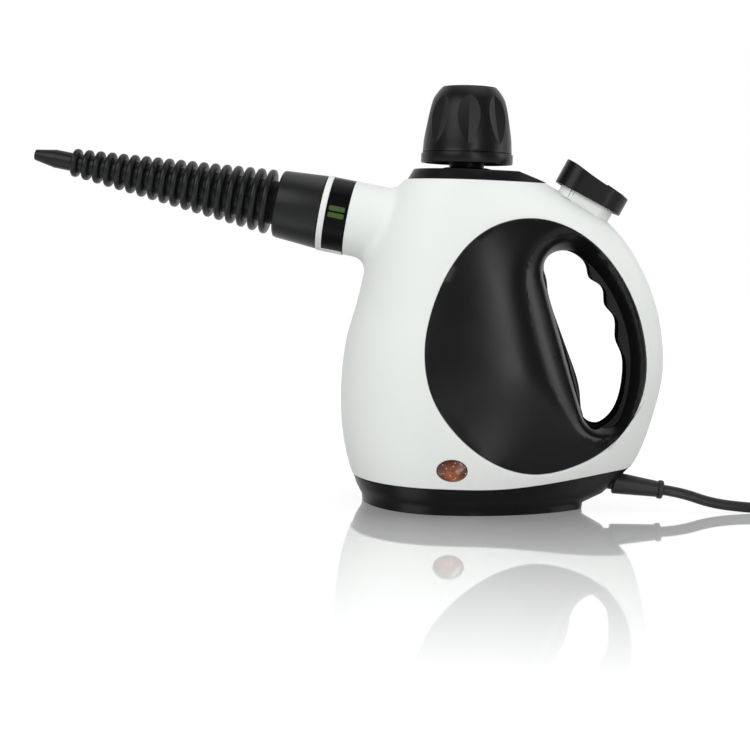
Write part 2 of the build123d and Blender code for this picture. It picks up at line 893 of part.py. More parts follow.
def make_boiler_lower():
    """Pressed cup with a flange at its top."""
    outer, inner = boiler_radius, boiler_radius - boiler_wall
    flange_low = boiler_split - boiler_flange
    cup = turned([
        (0, boiler_bottom), (outer - boiler_wall, boiler_bottom), (outer, boiler_bottom + boiler_wall),
        (outer, flange_low), (boiler_flange_radius, flange_low), (boiler_flange_radius, boiler_split),
        (inner, boiler_split), (inner, boiler_bottom + 2 * boiler_wall),
        (inner - boiler_wall, boiler_bottom + boiler_wall), (0, boiler_bottom + boiler_wall),
    ])
    return cup - boiler_holes()


def make_boiler_upper():
    """Pressed dome with a flange, holes for the neck and the steam port."""
    outer, inner = boiler_radius, boiler_radius - boiler_wall
    low = boiler_split + gasket_thickness
    dome = turned([
        (inner, low), (boiler_flange_radius, low), (boiler_flange_radius, low + boiler_flange),
        (outer, low + boiler_flange), (outer, boiler_top - boiler_shoulder),
        (outer - boiler_shoulder, boiler_top), (neck_radius + pin_gap, boiler_top),
        (neck_radius + pin_gap, boiler_top - boiler_wall),
        (inner - boiler_shoulder + boiler_wall / 2, boiler_top - boiler_wall),
        (inner, boiler_top - boiler_shoulder - boiler_wall / 2),
    ])
    port = Pos(boiler_port_x, 0, 0) * rod(boiler_port_radius, boiler_top, boiler_top + boiler_port_height)
    way = Pos(boiler_port_x, 0, 0) * rod(tube_bore_radius, boiler_split, body_height)
    return dome + port - way - boiler_holes()


def boiler_screw_places():
    return [
        Rot(0, 0, (turn + 1 / 2) * 360 / boiler_screw_count) * Pos(boiler_screw_circle, 0, 0)
        for turn in range(boiler_screw_count)
    ]


def boiler_holes():
    reach = wall + boiler_flange
    hole = rod(boiler_screw_radius + pin_gap, boiler_split - reach, boiler_split + reach)
    return Part() + [place * hole for place in boiler_screw_places()]


def make_boiler_gasket():
    ring = tube(boiler_flange_radius, boiler_radius - boiler_wall, boiler_split, boiler_split + gasket_thickness)
    return ring - boiler_holes()


def make_boiler_screws():
    top = boiler_split + gasket_thickness + boiler_flange
    bottom = boiler_split - boiler_flange
    screw = rod(boiler_screw_radius, bottom, top) + rod(boiler_screw_head_radius, top, top + boiler_screw_head)
    return [place * screw for place in boiler_screw_places()]


def make_heating_element():
    """Tubular heater bent to an open ring under the boiler, its two legs turned down."""
    z = boiler_bottom - heater_tube_radius - pin_gap
    half_gap = radians(heater_gap_angle / 2)
    a = (heater_ring_radius * cos(half_gap), -heater_ring_radius * sin(half_gap), z)
    b = (-heater_ring_radius, 0, z)
    c = (heater_ring_radius * cos(half_gap), heater_ring_radius * sin(half_gap), z)
    ring = ThreePointArc(a, b, c)
    octagon = RegularPolygon(heater_tube_radius, heater_sides)
    section = Plane(origin=a, z_dir=ring % 0).location * octagon
    element = sweep(section, path=ring)
    for x, y, _ in (a, c):
        element = element + Pos(x, y, z - heater_leg) * extrude(octagon, heater_leg)
    return element


def make_thermostat():
    high = boiler_bottom - pin_gap
    disc = rod(thermostat_radius, high - thermostat_height, high)
    terminals = [
        Pos(0, y, 0) * block(-fuse_radius, fuse_radius, -boiler_wall / 4, boiler_wall / 4,
                             high - thermostat_height - fuse_radius * 2, high - thermostat_height)
        for y in (-thermostat_radius / 2, thermostat_radius / 2)
    ]
    return disc + terminals


def make_thermal_fuse():
    z = boiler_bottom - fuse_radius - pin_gap
    barrel = Pos(fuse_x, fuse_y, z) * Rot(0, 90, 0) * Cylinder(fuse_radius, fuse_length)
    return barrel + Pos(fuse_x, fuse_y, z) * Rot(0, 90, 0) * Cylinder(fuse_radius / 3, 2 * fuse_length)


def make_button_collar():
    """White oval collar with the pivot pin's holes and the guide that holds the valve."""
    frame = button_frame.location
    outer = slot(collar_length, collar_width, -collar_depth, collar_top)
    inner = slot(collar_length - 2 * collar_wall, collar_width - 2 * collar_wall,
                 -collar_depth + collar_floor, collar_top + cut_overrun)
    collar = frame * (outer - inner)
    guide = Pos(stem_x, 0, 0) * rod(valve_guide_outer, valve_top + seam, guide_top_z)
    collar = collar + guide
    collar = collar - Pos(stem_x, 0, 0) * rod(valve_guide_inner, 0, 2 * body_height)
    pin_hole = Pos(-pivot_forward, 0, pivot_height) * Rot(90, 0, 0) * Cylinder(pivot_radius, 2 * collar_width)
    return collar - frame * pin_hole


def make_button_pin():
    length = collar_width
    pin = Pos(-pivot_forward, 0, pivot_height) * Rot(90, 0, 0) * Cylinder(pivot_radius, length)
    return button_frame.location * pin


def button_top_plane():
    """Where the button's sloped top runs: through the tops of its two ends."""
    drop = button_front_height - button_rear_height
    return Plane(
        origin=(0, 0, (button_front_height + button_rear_height) / 2),
        x_dir=(button_length, 0, -drop),
        z_dir=(drop, 0, button_length),
    )


def make_steam_button():
    """Hollow oval cap with a dished, sloped top, two pivot lugs and the boss that presses the stem."""
    big = 2 * button_length
    top = button_top_plane().location
    block_form = slot(button_length, button_width, 0, 2 * button_front_height)
    block_form = block_form - top * block(-big, big, -big, big, 0, big)
    dish = Pos(0, 0, button_dish_radius - button_dish_depth) * Rot(90, 0, 0) * Cylinder(button_dish_radius, big)
    block_form = block_form - top * dish
    room_length = button_length - 2 * button_wall
    room = slot(room_length, button_width - 2 * button_wall, -cut_overrun, 2 * button_front_height)
    room = room - top * block(-big, big, -big, big, -button_roof, big)
    button = block_form - room
    lug_low = pivot_height - pivot_radius - lug_thickness / 2
    under_roof = top * block(-big, big, -big, big, -big, -button_roof / 2)
    for y in (-lug_offset, lug_offset):
        lug = block(-pivot_forward - lug_half_width, -pivot_forward + lug_half_width,
                    y - lug_thickness / 2, y + lug_thickness / 2, lug_low, button_front_height)
        button = button + (lug & under_roof)
    boss = Pos(press_x, 0, 0) * rod(press_boss_radius, press_z, button_front_height)
    button = button + (boss & under_roof)
    hole = Pos(-pivot_forward, 0, pivot_height) * Rot(90, 0, 0)
    button = button - hole * Cylinder(pivot_radius + pin_gap, 2 * lug_offset + 2 * lug_thickness)
    button = button - top * slider_slot()
    return button_frame.location * button


def slider_slot():
    """The shallow track in the button's top that the lock slider runs in."""
    rear = button_length / 2 - slider_setback
    front = rear - slider_length - slider_travel
    return block(front - run_gap, rear + run_gap, -slider_width / 2 - run_gap, slider_width / 2 + run_gap,
                 -slider_depth - button_dish_depth / 2, button_front_height)


def make_lock_slider():
    """Low ridge that locks the button; it slides along the button's top."""
    rear = button_length / 2 - slider_setback
    low = -slider_depth - button_dish_depth / 2 + pin_gap
    bar = block(rear - slider_length, rear, -slider_width / 2, slider_width / 2, low, slider_proud)
    bar = fillet(bar.edges().filter_by(Axis.Y).sort_by(Axis.Z)[-2:], slider_proud)
    return button_frame.location * (button_top_plane().location * bar)


def make_valve_body():
    """Brass valve with ports for the inlet and outlet tubes and a bore for the stem."""
    body = Pos(stem_x, 0, 0) * rod(valve_radius, valve_bottom, valve_top)
    bore_floor = valve_top - valve_bore_depth
    body = body - Pos(stem_x, 0, 0) * rod(stem_radius + pin_gap, bore_floor, valve_top + cut_overrun)
    inlet = Pos(stem_x - valve_radius, 0, tube_port_z) * Rot(0, 90, 0) * Cylinder(tube_bore_radius, valve_radius)
    outlet = outlet_port() * rod(tube_bore_radius, valve_radius / 2, valve_radius + cut_overrun)
    return body - inlet - outlet


def outlet_port():
    """Where the outlet tube leaves the valve, level and half forward."""
    return Pos(stem_x, 0, tube_port_z) * Rot(0, 0, outlet_turn) * Rot(0, 90, 0)


def make_valve_stem():
    bottom = valve_top - stem_in_body
    stem = rod(stem_radius, bottom, stem_top_z) + rod(stem_head_radius, stem_top_z - stem_head, stem_top_z)
    return Pos(stem_x, 0, 0) * stem


def make_valve_spring():
    low = valve_top
    return Pos(stem_x, 0, 0) * tube(valve_spring_outer, valve_spring_inner, low, stem_top_z - stem_head)


def piped(points, radius, bend):
    """A six-sided bar along straight runs with rounded corners."""
    path = FilletPolyline(*points, radius=bend)
    section = Plane(origin=path @ 0, z_dir=path % 0).location * RegularPolygon(radius, tube_sides)
    return sweep(section, path=path)


def make_inlet_tube():
    """From the boiler's port over to the valve."""
    start = boiler_top + boiler_port_height
    high = boiler_top + inlet_rise
    points = [
        (boiler_port_x, 0, start), (boiler_port_x, 0, high), (inlet_flat_end, 0, high),
        (inlet_drop_end, 0, tube_port_z), (stem_x - valve_radius, 0, tube_port_z),
    ]
    bends = [elbow_radius, elbow_radius / 2, elbow_radius / 2]
    return piped(points, tube_radius, bends) - piped(points, tube_bore_radius, bends)


def make_outlet_tube():
    """From the valve over the boiler to the spigot's tail."""
    tail = nozzle_frame.location * Pos(0, 0, spout_mouth - spigot_tail)
    before_tail = nozzle_frame.location * Pos(0, 0, spout_mouth - spigot_tail - outlet_run)
    start = outlet_port() * Pos(0, 0, valve_radius)
    corner = outlet_port() * Pos(0, 0, valve_radius + outlet_port_reach)
    points = [
        tuple(start.position), tuple(corner.position), *outlet_route,
        tuple(before_tail.position), tuple(tail.position),
    ]
    bends = [elbow_radius / 2, elbow_radius, elbow_radius, elbow_radius, elbow_radius]
    return piped(points, tube_radius, bends) - piped(points, tube_bore_radius, bends)


def make_spigot():
    """Steam outlet: tail, flange behind the band's web, body in the web and a nose for the nozzle."""
    web_back = spout_mouth
    web_front = spout_mouth + band_web
    groove_high = spigot_nose - oring_setback + web_front
    groove_low = groove_high - oring_width
    groove_radius = spigot_nose_radius - oring_groove_depth
    nose_end = web_front + spigot_nose
    return nozzle_frame.location * turned([
        (spigot_bore_radius, web_back - spigot_tail), (spigot_radius, web_back - spigot_tail),
        (spigot_radius, web_back - spigot_flange), (spigot_flange_radius, web_back - spigot_flange),
        (spigot_flange_radius, web_back), (spigot_radius, web_back), (spigot_radius, web_front),
        (spigot_nose_radius, web_front), (spigot_nose_radius, groove_low), (groove_radius, groove_low),
        (groove_radius, groove_high), (spigot_nose_radius, groove_high),
        (spigot_nose_radius, nose_end), (spigot_bore_radius, nose_end),
    ])


def make_spigot_oring():
    middle = spout_mouth + band_web + spigot_nose - oring_setback - oring_width / 2
    inner = spigot_nose_radius - oring_groove_depth
    return nozzle_frame.location * tube(
        spigot_nose_radius + pin_gap, inner, middle - oring_width / 2, middle + oring_width / 2
    )


def wedge(angle, radius, low, high):
    """Two opposite sectors of a disc, each as wide as angle."""
    half_width = radius * tan(radians(angle / 2))
    parts = []
    for side in (-1, 1):
        face = make_face(Polyline([(0, 0, low), (side * radius, -half_width, low), (side * radius, half_width, low)],
                                  close=True))
        parts.append(extrude(face, high - low, dir=(0, 0, 1)))
    return Part() + parts


def make_collar_band():
    """Black socket ring on the spout, with a web at its back and a catch ledge with two gaps."""
    inner_back = spout_mouth + band_web
    ledge_low = band_end - catch_length
    band = turned([
        (spigot_radius + pin_gap, spout_mouth), (spout_radius, spout_mouth), (spout_radius, band_end),
        (catch_radius, band_end), (catch_radius, ledge_low), (band_bore_radius, ledge_low),
        (band_bore_radius, inner_back), (spigot_radius + pin_gap, inner_back),
    ])
    gaps = Rot(0, 0, catch_turn) * wedge(catch_gap_angle, band_bore_radius, ledge_low, band_end + cut_overrun)
    gaps = gaps & tube(band_bore_radius, catch_radius - wall, ledge_low - cut_overrun, band_end + cut_overrun)
    return nozzle_frame.location * (band - gaps)


def make_collar_ring():
    return nozzle_frame.location * tube(ring_radius, catch_radius, band_end, ring_end)


def make_nozzle_connector():
    """Tapered grip ring with an inner sleeve, two bayonet lugs and a sealing hub."""
    front = connector_end
    sleeve_end = connector_start - sleeve_depth
    web_low = socket_floor - band_web
    shape = turned([
        (sleeve_bore_radius, sleeve_end), (sleeve_radius, sleeve_end), (sleeve_radius, connector_start),
        (connector_radius, connector_start), (connector_front_radius, front - connector_round),
        (connector_front_radius - connector_round / 3, front - connector_round / 3),
        (connector_front_radius - connector_round, front), (socket_radius, front),
        (socket_radius, socket_floor), (hub_bore_radius, socket_floor), (hub_bore_radius, hub_start),
        (hub_radius, hub_start), (hub_radius, web_low), (sleeve_bore_radius, web_low),
    ])
    lugs = wedge(lug_angle, lug_radius, sleeve_end, sleeve_end + lug_length)
    lugs = lugs & tube(lug_radius, sleeve_radius - wall / 2, sleeve_end, sleeve_end + lug_length)
    return nozzle_frame.location * (shape + lugs)


def make_ribbed_nozzle():
    """Rubber nozzle: a tapering core with separate ribs, a tapered tip and a bore."""
    length = last_rib - rib_first
    seated_radius = socket_radius - pin_gap
    profile = [(nozzle_bore_radius, socket_floor), (seated_radius, socket_floor), (seated_radius, connector_end)]
    profile.append((core_root_radius, connector_end))
    profile.append((core_root_radius, rib_first - rib_foot / 2))
    for index in range(rib_count):
        along = rib_first + index * rib_pitch
        share = index / (rib_count - 1)
        crown = rib_root_radius + (rib_tip_radius - rib_root_radius) * share
        for station, on_crown in ((-rib_foot, False), (-rib_crown, True), (rib_crown, True), (rib_foot, False)):
            s = along + station / 2
            core = core_root_radius + (core_tip_radius - core_root_radius) * (s - rib_first) / length
            profile.append((crown if on_crown else max(core, core_tip_radius), s))
    profile.append((core_tip_radius, tip_start + tip_straight))
    profile.append((tip_end_radius, nozzle_end))
    profile.append((mouth_bore_radius, nozzle_end))
    profile.append((mouth_bore_radius, last_rib))
    profile.append((nozzle_bore_radius, last_rib))
    return nozzle_frame.location * turned(profile)


def lens_face(grow):
    return Pos(lens_x, 0, lens_z) * Plane.XZ.location * Ellipse(lens_length / 2 + grow, lens_height / 2 + grow)


def make_indicator_lens():
    """Oval lens through the left wall, a little proud, with a lip behind the wall."""
    shaft = extrude(lens_face(0), body_half_width + cut_overrun, dir=(0, -1, 0))
    proud = body_form(-lens_proud) - body_form(wall + lens_lip_thickness + seam)
    lens = shaft & proud
    lip_block = extrude(lens_face(lens_lip), body_half_width + cut_overrun, dir=(0, -1, 0))
    lip = lip_block & (body_form(wall + seam) - body_form(wall + lens_lip_thickness + seam))
    return lens + lip


def make_indicator_lamp():
    """Neon lamp in a small holder behind the lens."""
    back = -lamp_face_y + lamp_length
    glass = along_y(lamp_radius, lens_x, lens_z, -lamp_face_y, back)
    holder = along_y(lamp_radius + wall / 2, lens_x, lens_z, back - lamp_holder, back)
    return glass + holder


def make_strain_relief():
    """Tapered rubber sleeve with an end flange, and a grooved shank held in the base's wall."""
    relief = turned([
        (cord_radius, -relief_shank), (relief_shank_radius, -relief_shank),
        (relief_shank_radius, -relief_shank / 2), (relief_groove_radius, -relief_shank / 2),
        (relief_groove_radius, relief_root_start), (relief_root_radius, relief_root_start),
        (relief_end_radius, relief_length), (relief_flange_radius, relief_length),
        (relief_flange_radius, relief_length + relief_flange), (cord_radius, relief_length + relief_flange),
    ])
    return relief_frame.location * relief


def make_inner_lead():
    return relief_frame.location * rod(cord_radius, -lead_inside, relief_length + relief_flange)


def make_cord_clamp():
    """Bar that holds the lead down on the base's saddle."""
    place = relief_frame.location * Pos(0, 0, -clamp_back)
    middle = place.position
    low = middle.Z - cord_radius
    bar = block(middle.X - clamp_length / 2, middle.X + clamp_length / 2,
                -clamp_width / 2, clamp_width / 2, low, low + 2 * cord_radius + clamp_thickness)
    return bar - relief_frame.location * rod(cord_radius + pin_gap, -2 * clamp_back, 0)


def make_terminal_block():
    """Ceramic terminal block on the base's floor."""
    body = block(terminal_x - terminal_width / 2, terminal_x + terminal_width / 2,
                 -terminal_length / 2, terminal_length / 2, base_floor, base_floor + terminal_height)
    for way in range(terminal_ways):
        y = (way + 1 / 2) * terminal_length / terminal_ways - terminal_length / 2
        body = body - Pos(terminal_x, y, base_floor + terminal_height / 2) * Rot(0, 90, 0) * Cylinder(
            terminal_hole_radius, 2 * terminal_width
        )
    return body


def cord_start():
    return (relief_frame.location * Pos(0, 0, relief_length + relief_flange)).position


def cord_points():
    """The free cord's corners, from the relief to the coil."""
    first = relief_frame.location * Pos(0, 0, relief_length + relief_flange + cord_first_run)
    last = (coil_x - coil_end_run, cord_route[-1][1], cord_route[-1][2])
    return [tuple(cord_start()), tuple(first.position), *cord_route, last]


def corner_radii(points):
    """0.45 of the shorter run at each corner, over the tangent of half the turn."""
    radii = []
    for before, corner, after in zip(points, points[1:], points[2:]):
        arriving = Vector(*corner) - Vector(*before)
        leaving = Vector(*after) - Vector(*corner)
        turn = radians(arriving.get_angle(leaving))
        radii.append(corner_run_share * min(arriving.length, leaving.length) / tan(turn / 2))
    return radii


def make_cord():
    """The stretch that lies free, from the relief to the coil."""
    points = cord_points()
    radii = corner_radii(points)
    path = FilletPolyline(*points, radius=radii)
    section = Plane(origin=path @ 0, z_dir=path % 0).location * Circle(cord_radius)
    cord = sweep(section, path=path)
    print("cord radii", [round(r, 1) for r in radii], "length", round(path.length, 1))
    print("cord volume", round(cord.volume, 1), "of", round(pi * cord_radius**2 * path.length, 1))
    return cord


def coil_arcs():
    """Half turns inwards on the floor, one that climbs, half turns outwards on top, and a short tail."""
    low = cord_route[-1][2]
    centre_y = cord_route[-1][1] - coil_outer_radius
    halves = coil_lower_halves + 1 + coil_upper_halves
    reach = coil_outer_radius
    side = 1
    z = low
    ends = [(coil_x, centre_y + side * reach, z)]
    middles = []
    for half in range(halves):
        start_reach, start_z = reach, z
        if half < coil_lower_halves:
            reach -= coil_pitch / 2
        elif half == coil_lower_halves:
            reach -= coil_pitch / 2
            z = low + coil_layer_rise
        elif half == coil_lower_halves + 1:
            reach += coil_pitch
        else:
            reach += coil_pitch / 2
        radius = (start_reach + reach) / 2
        side = -side
        ends.append((coil_x, centre_y + side * reach, z))
        middle_y = (ends[-1][1] + ends[-2][1]) / 2
        middles.append((coil_x - side * radius, middle_y, (start_z + z) / 2))
    arcs = [ThreePointArc(a, m, b) for a, m, b in zip(ends, middles, ends[1:])]
    return arcs


def make_cord_coil():
    arcs = coil_arcs()
    x, y, z = tuple(arcs[-1] @ 1)
    turn = radians(coil_tail_turn)
    spread = coil_tail_radius

    def tail_point(angle):
        return (x + spread * sin(angle), y + spread * (1 - cos(angle)), z)

    arcs.append(ThreePointArc(tail_point(0), tail_point(turn / 2), tail_point(turn)))
    start = arcs[0] @ 0
    bend_end = arcs[-1] @ 1
    end = bend_end + (arcs[-1] % 1) * coil_end_run
    first = Line(start - Vector(coil_end_run, 0, 0), start)
    path = Wire([first, *arcs, Line(bend_end, end)])
    section = Plane(origin=path @ 0, z_dir=path % 0).location * RegularPolygon(cord_radius, coil_sides)
    coil = sweep(section, path=path)
    print("coil length", round(path.length, 1), "least gap", round(least_gap(arcs), 2))
    return coil, end, turn


def least_gap(arcs):
    """Closest that the coil comes to itself, measured on points along it, skin to skin."""
    points = []
    for arc in arcs:
        steps = max(2, round(arc.length / cord_radius))
        points += [arc @ (step / steps) for step in range(steps)]
    apart = round(2 * pi * cord_radius)
    nearest = coil_outer_radius
    for index, here in enumerate(points):
        for there in points[index + apart:]:
            nearest = min(nearest, (there - here).length)
    return nearest - 2 * cord_radius


def plug_frame(end, turn):
    """The plug's own frame: Z along the cord's last direction."""
    return Plane(origin=end, x_dir=(-sin(turn), cos(turn), 0), z_dir=(cos(turn), sin(turn), 0))


def make_plug_body(end, turn):
    neck = turned([(0, 0), (cord_radius + wall / 3, 0), (plug_neck_radius, plug_neck), (0, plug_neck)])
    body = extrude(Pos(0, 0, plug_neck) * RectangleRounded(plug_width, plug_height, plug_round), plug_length)
    return plug_frame(end, turn).location * (body + neck)


def make_plug_blades(end, turn):
    low = plug_neck + plug_length
    blades = []
    for side in (-1, 1):
        blade = Pos(0, 0, low + blade_length / 2) * Box(blade_width, blade_thickness, blade_length)
        blades.append(plug_frame(end, turn).location * Pos(side * blade_spacing / 2, 0, 0) * Rot(0, 0, 90) * blade)
    return blades


pieces = {}


def add(name, shape):
    """Keeps a piece as plain solids under the name that its file gets."""
    shapes = shape if isinstance(shape, list) else [shape]
    solids = [solid for item in shapes for solid in item.solids()]
    pieces[name] = solids[0] if len(solids) == 1 else Compound(children=solids)


def make_pieces():
    panel = make_side_panel()
    add("side_panel_left", panel)
    add("side_panel_right", mirrored(panel))
    half = make_housing_half()
    add("housing_left", make_housing_left(half))
    add("housing_right", make_housing_right(half))
    add("housing_screws", make_housing_screws())
    add("base_tray", make_base_tray())
    add("base_screws", make_base_screws())
    add("top_plate", make_top_plate())
    add("cap_shell", make_cap_shell())
    add("cap_core", make_cap_core())
    add("cap_seal", make_cap_seal())
    add("cap_spring", make_cap_spring())
    add("filler_neck", make_filler_neck())
    add("neck_nut", make_neck_nut())
    add("boiler_lower", make_boiler_lower())
    add("boiler_upper", make_boiler_upper())
    add("boiler_gasket", make_boiler_gasket())
    add("boiler_screws", make_boiler_screws())
    add("heating_element", make_heating_element())
    add("thermostat", make_thermostat())
    add("thermal_fuse", make_thermal_fuse())
    add("button_collar", make_button_collar())
    add("button_pin", make_button_pin())
    add("steam_button", make_steam_button())
    add("lock_slider", make_lock_slider())
    add("valve_body", make_valve_body())
    add("valve_stem", make_valve_stem())
    add("valve_spring", make_valve_spring())
    add("inlet_tube", make_inlet_tube())
    add("outlet_tube", make_outlet_tube())
    add("spigot", make_spigot())
    add("spigot_oring", make_spigot_oring())
    add("collar_band", make_collar_band())
    add("collar_ring", make_collar_ring())
    add("nozzle_connector", make_nozzle_connector())
    add("ribbed_nozzle", make_ribbed_nozzle())
    add("indicator_lens", make_indicator_lens())
    add("indicator_lamp", make_indicator_lamp())
    add("strain_relief", make_strain_relief())
    add("inner_lead", make_inner_lead())
    add("cord_clamp", make_cord_clamp())
    add("terminal_block", make_terminal_block())
    add("cord", make_cord())
    coil, coil_end, coil_turn = make_cord_coil()
    add("cord_coil", coil)
    add("plug_body", make_plug_body(coil_end, coil_turn))
    add("plug_blades", make_plug_blades(coil_end, coil_turn))


make_pieces()
os.makedirs("parts", exist_ok=True)
for name, shape in pieces.items():
    export_step(shape, os.path.join("parts", name + ".step"))
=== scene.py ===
from contextlib import contextmanager
from functools import partial
from math import atan2, cos, floor, hypot, pi, radians, sin, tan

import bmesh
import bpy
from bpy.props import FloatProperty, FloatVectorProperty, IntProperty, PointerProperty
from mathutils import Matrix, Vector
from mathutils.bvhtree import BVHTree
from mathutils.kdtree import KDTree


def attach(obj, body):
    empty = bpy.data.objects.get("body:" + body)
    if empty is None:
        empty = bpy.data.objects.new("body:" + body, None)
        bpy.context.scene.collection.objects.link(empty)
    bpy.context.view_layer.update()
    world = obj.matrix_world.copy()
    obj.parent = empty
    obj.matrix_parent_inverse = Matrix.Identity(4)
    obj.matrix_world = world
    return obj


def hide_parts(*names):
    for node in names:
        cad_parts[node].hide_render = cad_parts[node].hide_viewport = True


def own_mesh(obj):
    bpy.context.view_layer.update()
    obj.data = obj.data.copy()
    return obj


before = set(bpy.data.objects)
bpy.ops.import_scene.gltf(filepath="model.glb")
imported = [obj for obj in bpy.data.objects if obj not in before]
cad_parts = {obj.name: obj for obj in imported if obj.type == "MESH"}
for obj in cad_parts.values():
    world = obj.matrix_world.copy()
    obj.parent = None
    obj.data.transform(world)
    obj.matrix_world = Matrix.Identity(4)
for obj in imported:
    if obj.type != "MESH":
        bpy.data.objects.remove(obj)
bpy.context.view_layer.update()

bl_info = {
    "name": "Handheld steam cleaner",
    "version": (1, 0, 0),
    "blender": (4, 5, 0),
    "location": "3D View > Sidebar > Steam cleaner",
    "description": "Dresses a handheld steam cleaner: shells, cap, button, nozzle, cord and stage",
    "category": "Object",
}

MM = 0.001
# Corners closer than this are one
JOIN = 0.002 * MM
# Faces that meet at less than this many degrees are shaded as one surface
SOFT_ANGLE = 32
# The same for pieces that are turned about a line
TURNED_ANGLE = 40


def linear(code):
    """An sRGB hex colour as linear red, green and blue."""
    parts = [int(code[i:i + 2], 16) / 255 for i in (1, 3, 5)]
    return tuple(p / 12.92 if p <= 0.04045 else ((p + 0.055) / 1.055) ** 2.4 for p in parts)


def colour(name, description, code):
    return FloatVectorProperty(
        name=name, description=description, subtype="COLOR", size=3, min=0, max=1, default=linear(code)
    )


def size(name, description, default):
    return FloatProperty(name=name, description=description, default=default * MM, unit="LENGTH", precision=5)


class CleanerColours(bpy.types.PropertyGroup):
    """Colours of the finishes."""

    housing: colour("Housing", "White of the housing, ring and button collar", "#E4E7E4")
    panel: colour("Panels", "Black of the side panels, base and plug", "#101012")
    cap: colour("Cap and button", "Black of the cap, button, top plate and collar band", "#0E0E10")
    rubber: colour("Nozzle", "Black of the ribbed nozzle and its connector", "#101112")
    cord: colour("Cord", "Black of the mains cord and its relief", "#1B1B1D")
    bars: colour("Bars", "Green of the two bars on the collar band", "#3B5224")
    lens: colour("Lens", "Amber brown of the indicator lens", "#8A4B2E")
    floor: colour("Floor", "Pale floor under the cleaner", "#B9BBBA")


class CleanerSizes(bpy.types.PropertyGroup):
    """Sizes of the pieces that are made here."""

    rib_count: IntProperty(name="Ribs", description="Ribs on the nozzle", default=18, min=2)
    rib_pitch: size("Rib pitch", "From one rib's middle to the next", 6.367)
    rib_first: size("First rib", "First rib's middle from the nozzle's start", 31.8)
    rib_root: size("Root rib", "Radius of the largest rib", 17.64)
    rib_tip: size("Tip rib", "Radius of the smallest rib", 7.77)
    rib_width: size("Rib width", "Width of a rib", 3.7)
    core_root: size("Core at the root", "Radius of the core at the first rib", 11.8)
    core_tip: size("Core at the tip", "Radius of the core at the last rib", 5.0)
    mouth: size("Mouth", "Outer radius of the nozzle's end", 2.9)
    cap_rim: size("Cap rim", "Radius of the cap's rim band", 24.66)
    flute_count: IntProperty(name="Flutes", description="Flutes round the cap", default=8, min=2)
    cord_radius: size("Cord radius", "Radius of the mains cord", 2.9)
    edge: size("Edge", "Rounding of the moulded edges", 0.35)


def put(tree, kind, inputs=None, **settings):
    """Adds a node by its type's name without ShaderNode or GeometryNode before it.

    An input that is given a socket is linked to it, and one that is given a node to that node's first output in use.
    """
    start = next(text for text in ("ShaderNode", "GeometryNode", "") if hasattr(bpy.types, text + kind))
    node = tree.nodes.new(start + kind)
    for name, value in settings.items():
        setattr(node, name, value)
    for name, value in (inputs or {}).items():
        if isinstance(value, bpy.types.Node):
            value = next(socket for socket in value.outputs if socket.enabled)
        if isinstance(value, bpy.types.NodeSocket):
            tree.links.new(value, node.inputs[name])
        else:
            node.inputs[name].default_value = value
    return node


def blank(name):
    """A new material with an empty tree, and put for that tree."""
    material = bpy.data.materials.new(name)
    material.use_nodes = True
    material.node_tree.nodes.clear()
    return material, partial(put, material.node_tree)


def plastic(name, shade, roughness, grain, depth, specular=0.5, drift=0.04, coat=0.0, shaded_wall_gloss=None):
    """A moulded surface. grain and depth are the mould's texture in millimetres, drift is how far its tone wanders.

    The real grain of a mould is finer than these, too fine to show in the render, so it is drawn coarser.
    The last argument, where given, is the share of the gloss that is left on faces that look along the cleaner, such
    as the inner faces of its opening: painted shade, which keeps those faces dark as if they lay in shade.
    """
    material, add = blank(name)
    place = add("TexCoord").outputs["Object"]
    flow = add("TexNoise", {"Vector": place, "Scale": 1000 / 45, "Detail": 3.0})
    pale = tuple(min(1, c * (1 + drift)) for c in shade) + (1,)
    deep = tuple(c * (1 - drift) for c in shade) + (1,)
    tone = add("Mix", {0: flow, 6: deep, 7: pale}, data_type="RGBA")
    fine = add("TexNoise", {"Vector": place, "Scale": 1000 / grain, "Detail": 2.0})
    gloss = add("MapRange", {
        "Value": flow, "From Min": 0.3, "From Max": 0.7,
        "To Min": roughness - 0.03, "To Max": roughness + 0.03,
    })
    bump = add("Bump", {"Height": fine, "Strength": 0.5, "Distance": depth * MM})
    level = specular
    # Painted shade: faces that look along the cleaner lose their gloss, so the inner faces of the opening stay dark
    # as if in shade
    if shaded_wall_gloss is not None:
        facing = add("SeparateXYZ", {"Vector": add("NewGeometry").outputs["Normal"]})
        aside = add("Math", {0: facing.outputs["Y"]}, operation="ABSOLUTE")
        level = add("MapRange", {
            "Value": aside, "From Min": 0.1, "From Max": 0.45, "To Min": specular * shaded_wall_gloss, "To Max": specular,
        })
    shader = add("BsdfPrincipled", {
        "Base Color": tone, "Roughness": gloss, "Normal": bump, "IOR": 1.52, "Specular IOR Level": level,
        "Coat Weight": coat, "Coat Roughness": 0.06,
    })
    add("OutputMaterial", {"Surface": shader})
    return material


def metal(name, shade, roughness, grain, depth):
    """A bare metal with the marks of how it was made, at a real size in millimetres."""
    material, add = blank(name)
    place = add("TexCoord").outputs["Object"]
    marks = add("TexNoise", {"Vector": place, "Scale": 1000 / grain, "Detail": 4.0})
    pale = tuple(min(1, c * 1.06) for c in shade) + (1,)
    deep = tuple(c * 0.9 for c in shade) + (1,)
    tone = add("Mix", {0: marks, 6: deep, 7: pale}, data_type="RGBA")
    gloss = add("MapRange", {"Value": marks, "To Min": roughness - 0.08, "To Max": roughness + 0.08})
    bump = add("Bump", {"Height": marks, "Strength": 0.4, "Distance": depth * MM})
    shader = add("BsdfPrincipled", {"Base Color": tone, "Metallic": 1.0, "Roughness": gloss, "Normal": bump})
    add("OutputMaterial", {"Surface": shader})
    return material


# Middle of the indicator lens and half its width and height, in millimetres
LENS_MIDDLE = (-0.8, -47.0, 25.4)
LENS_HALF_X, LENS_HALF_Z = 7.7, 5.7
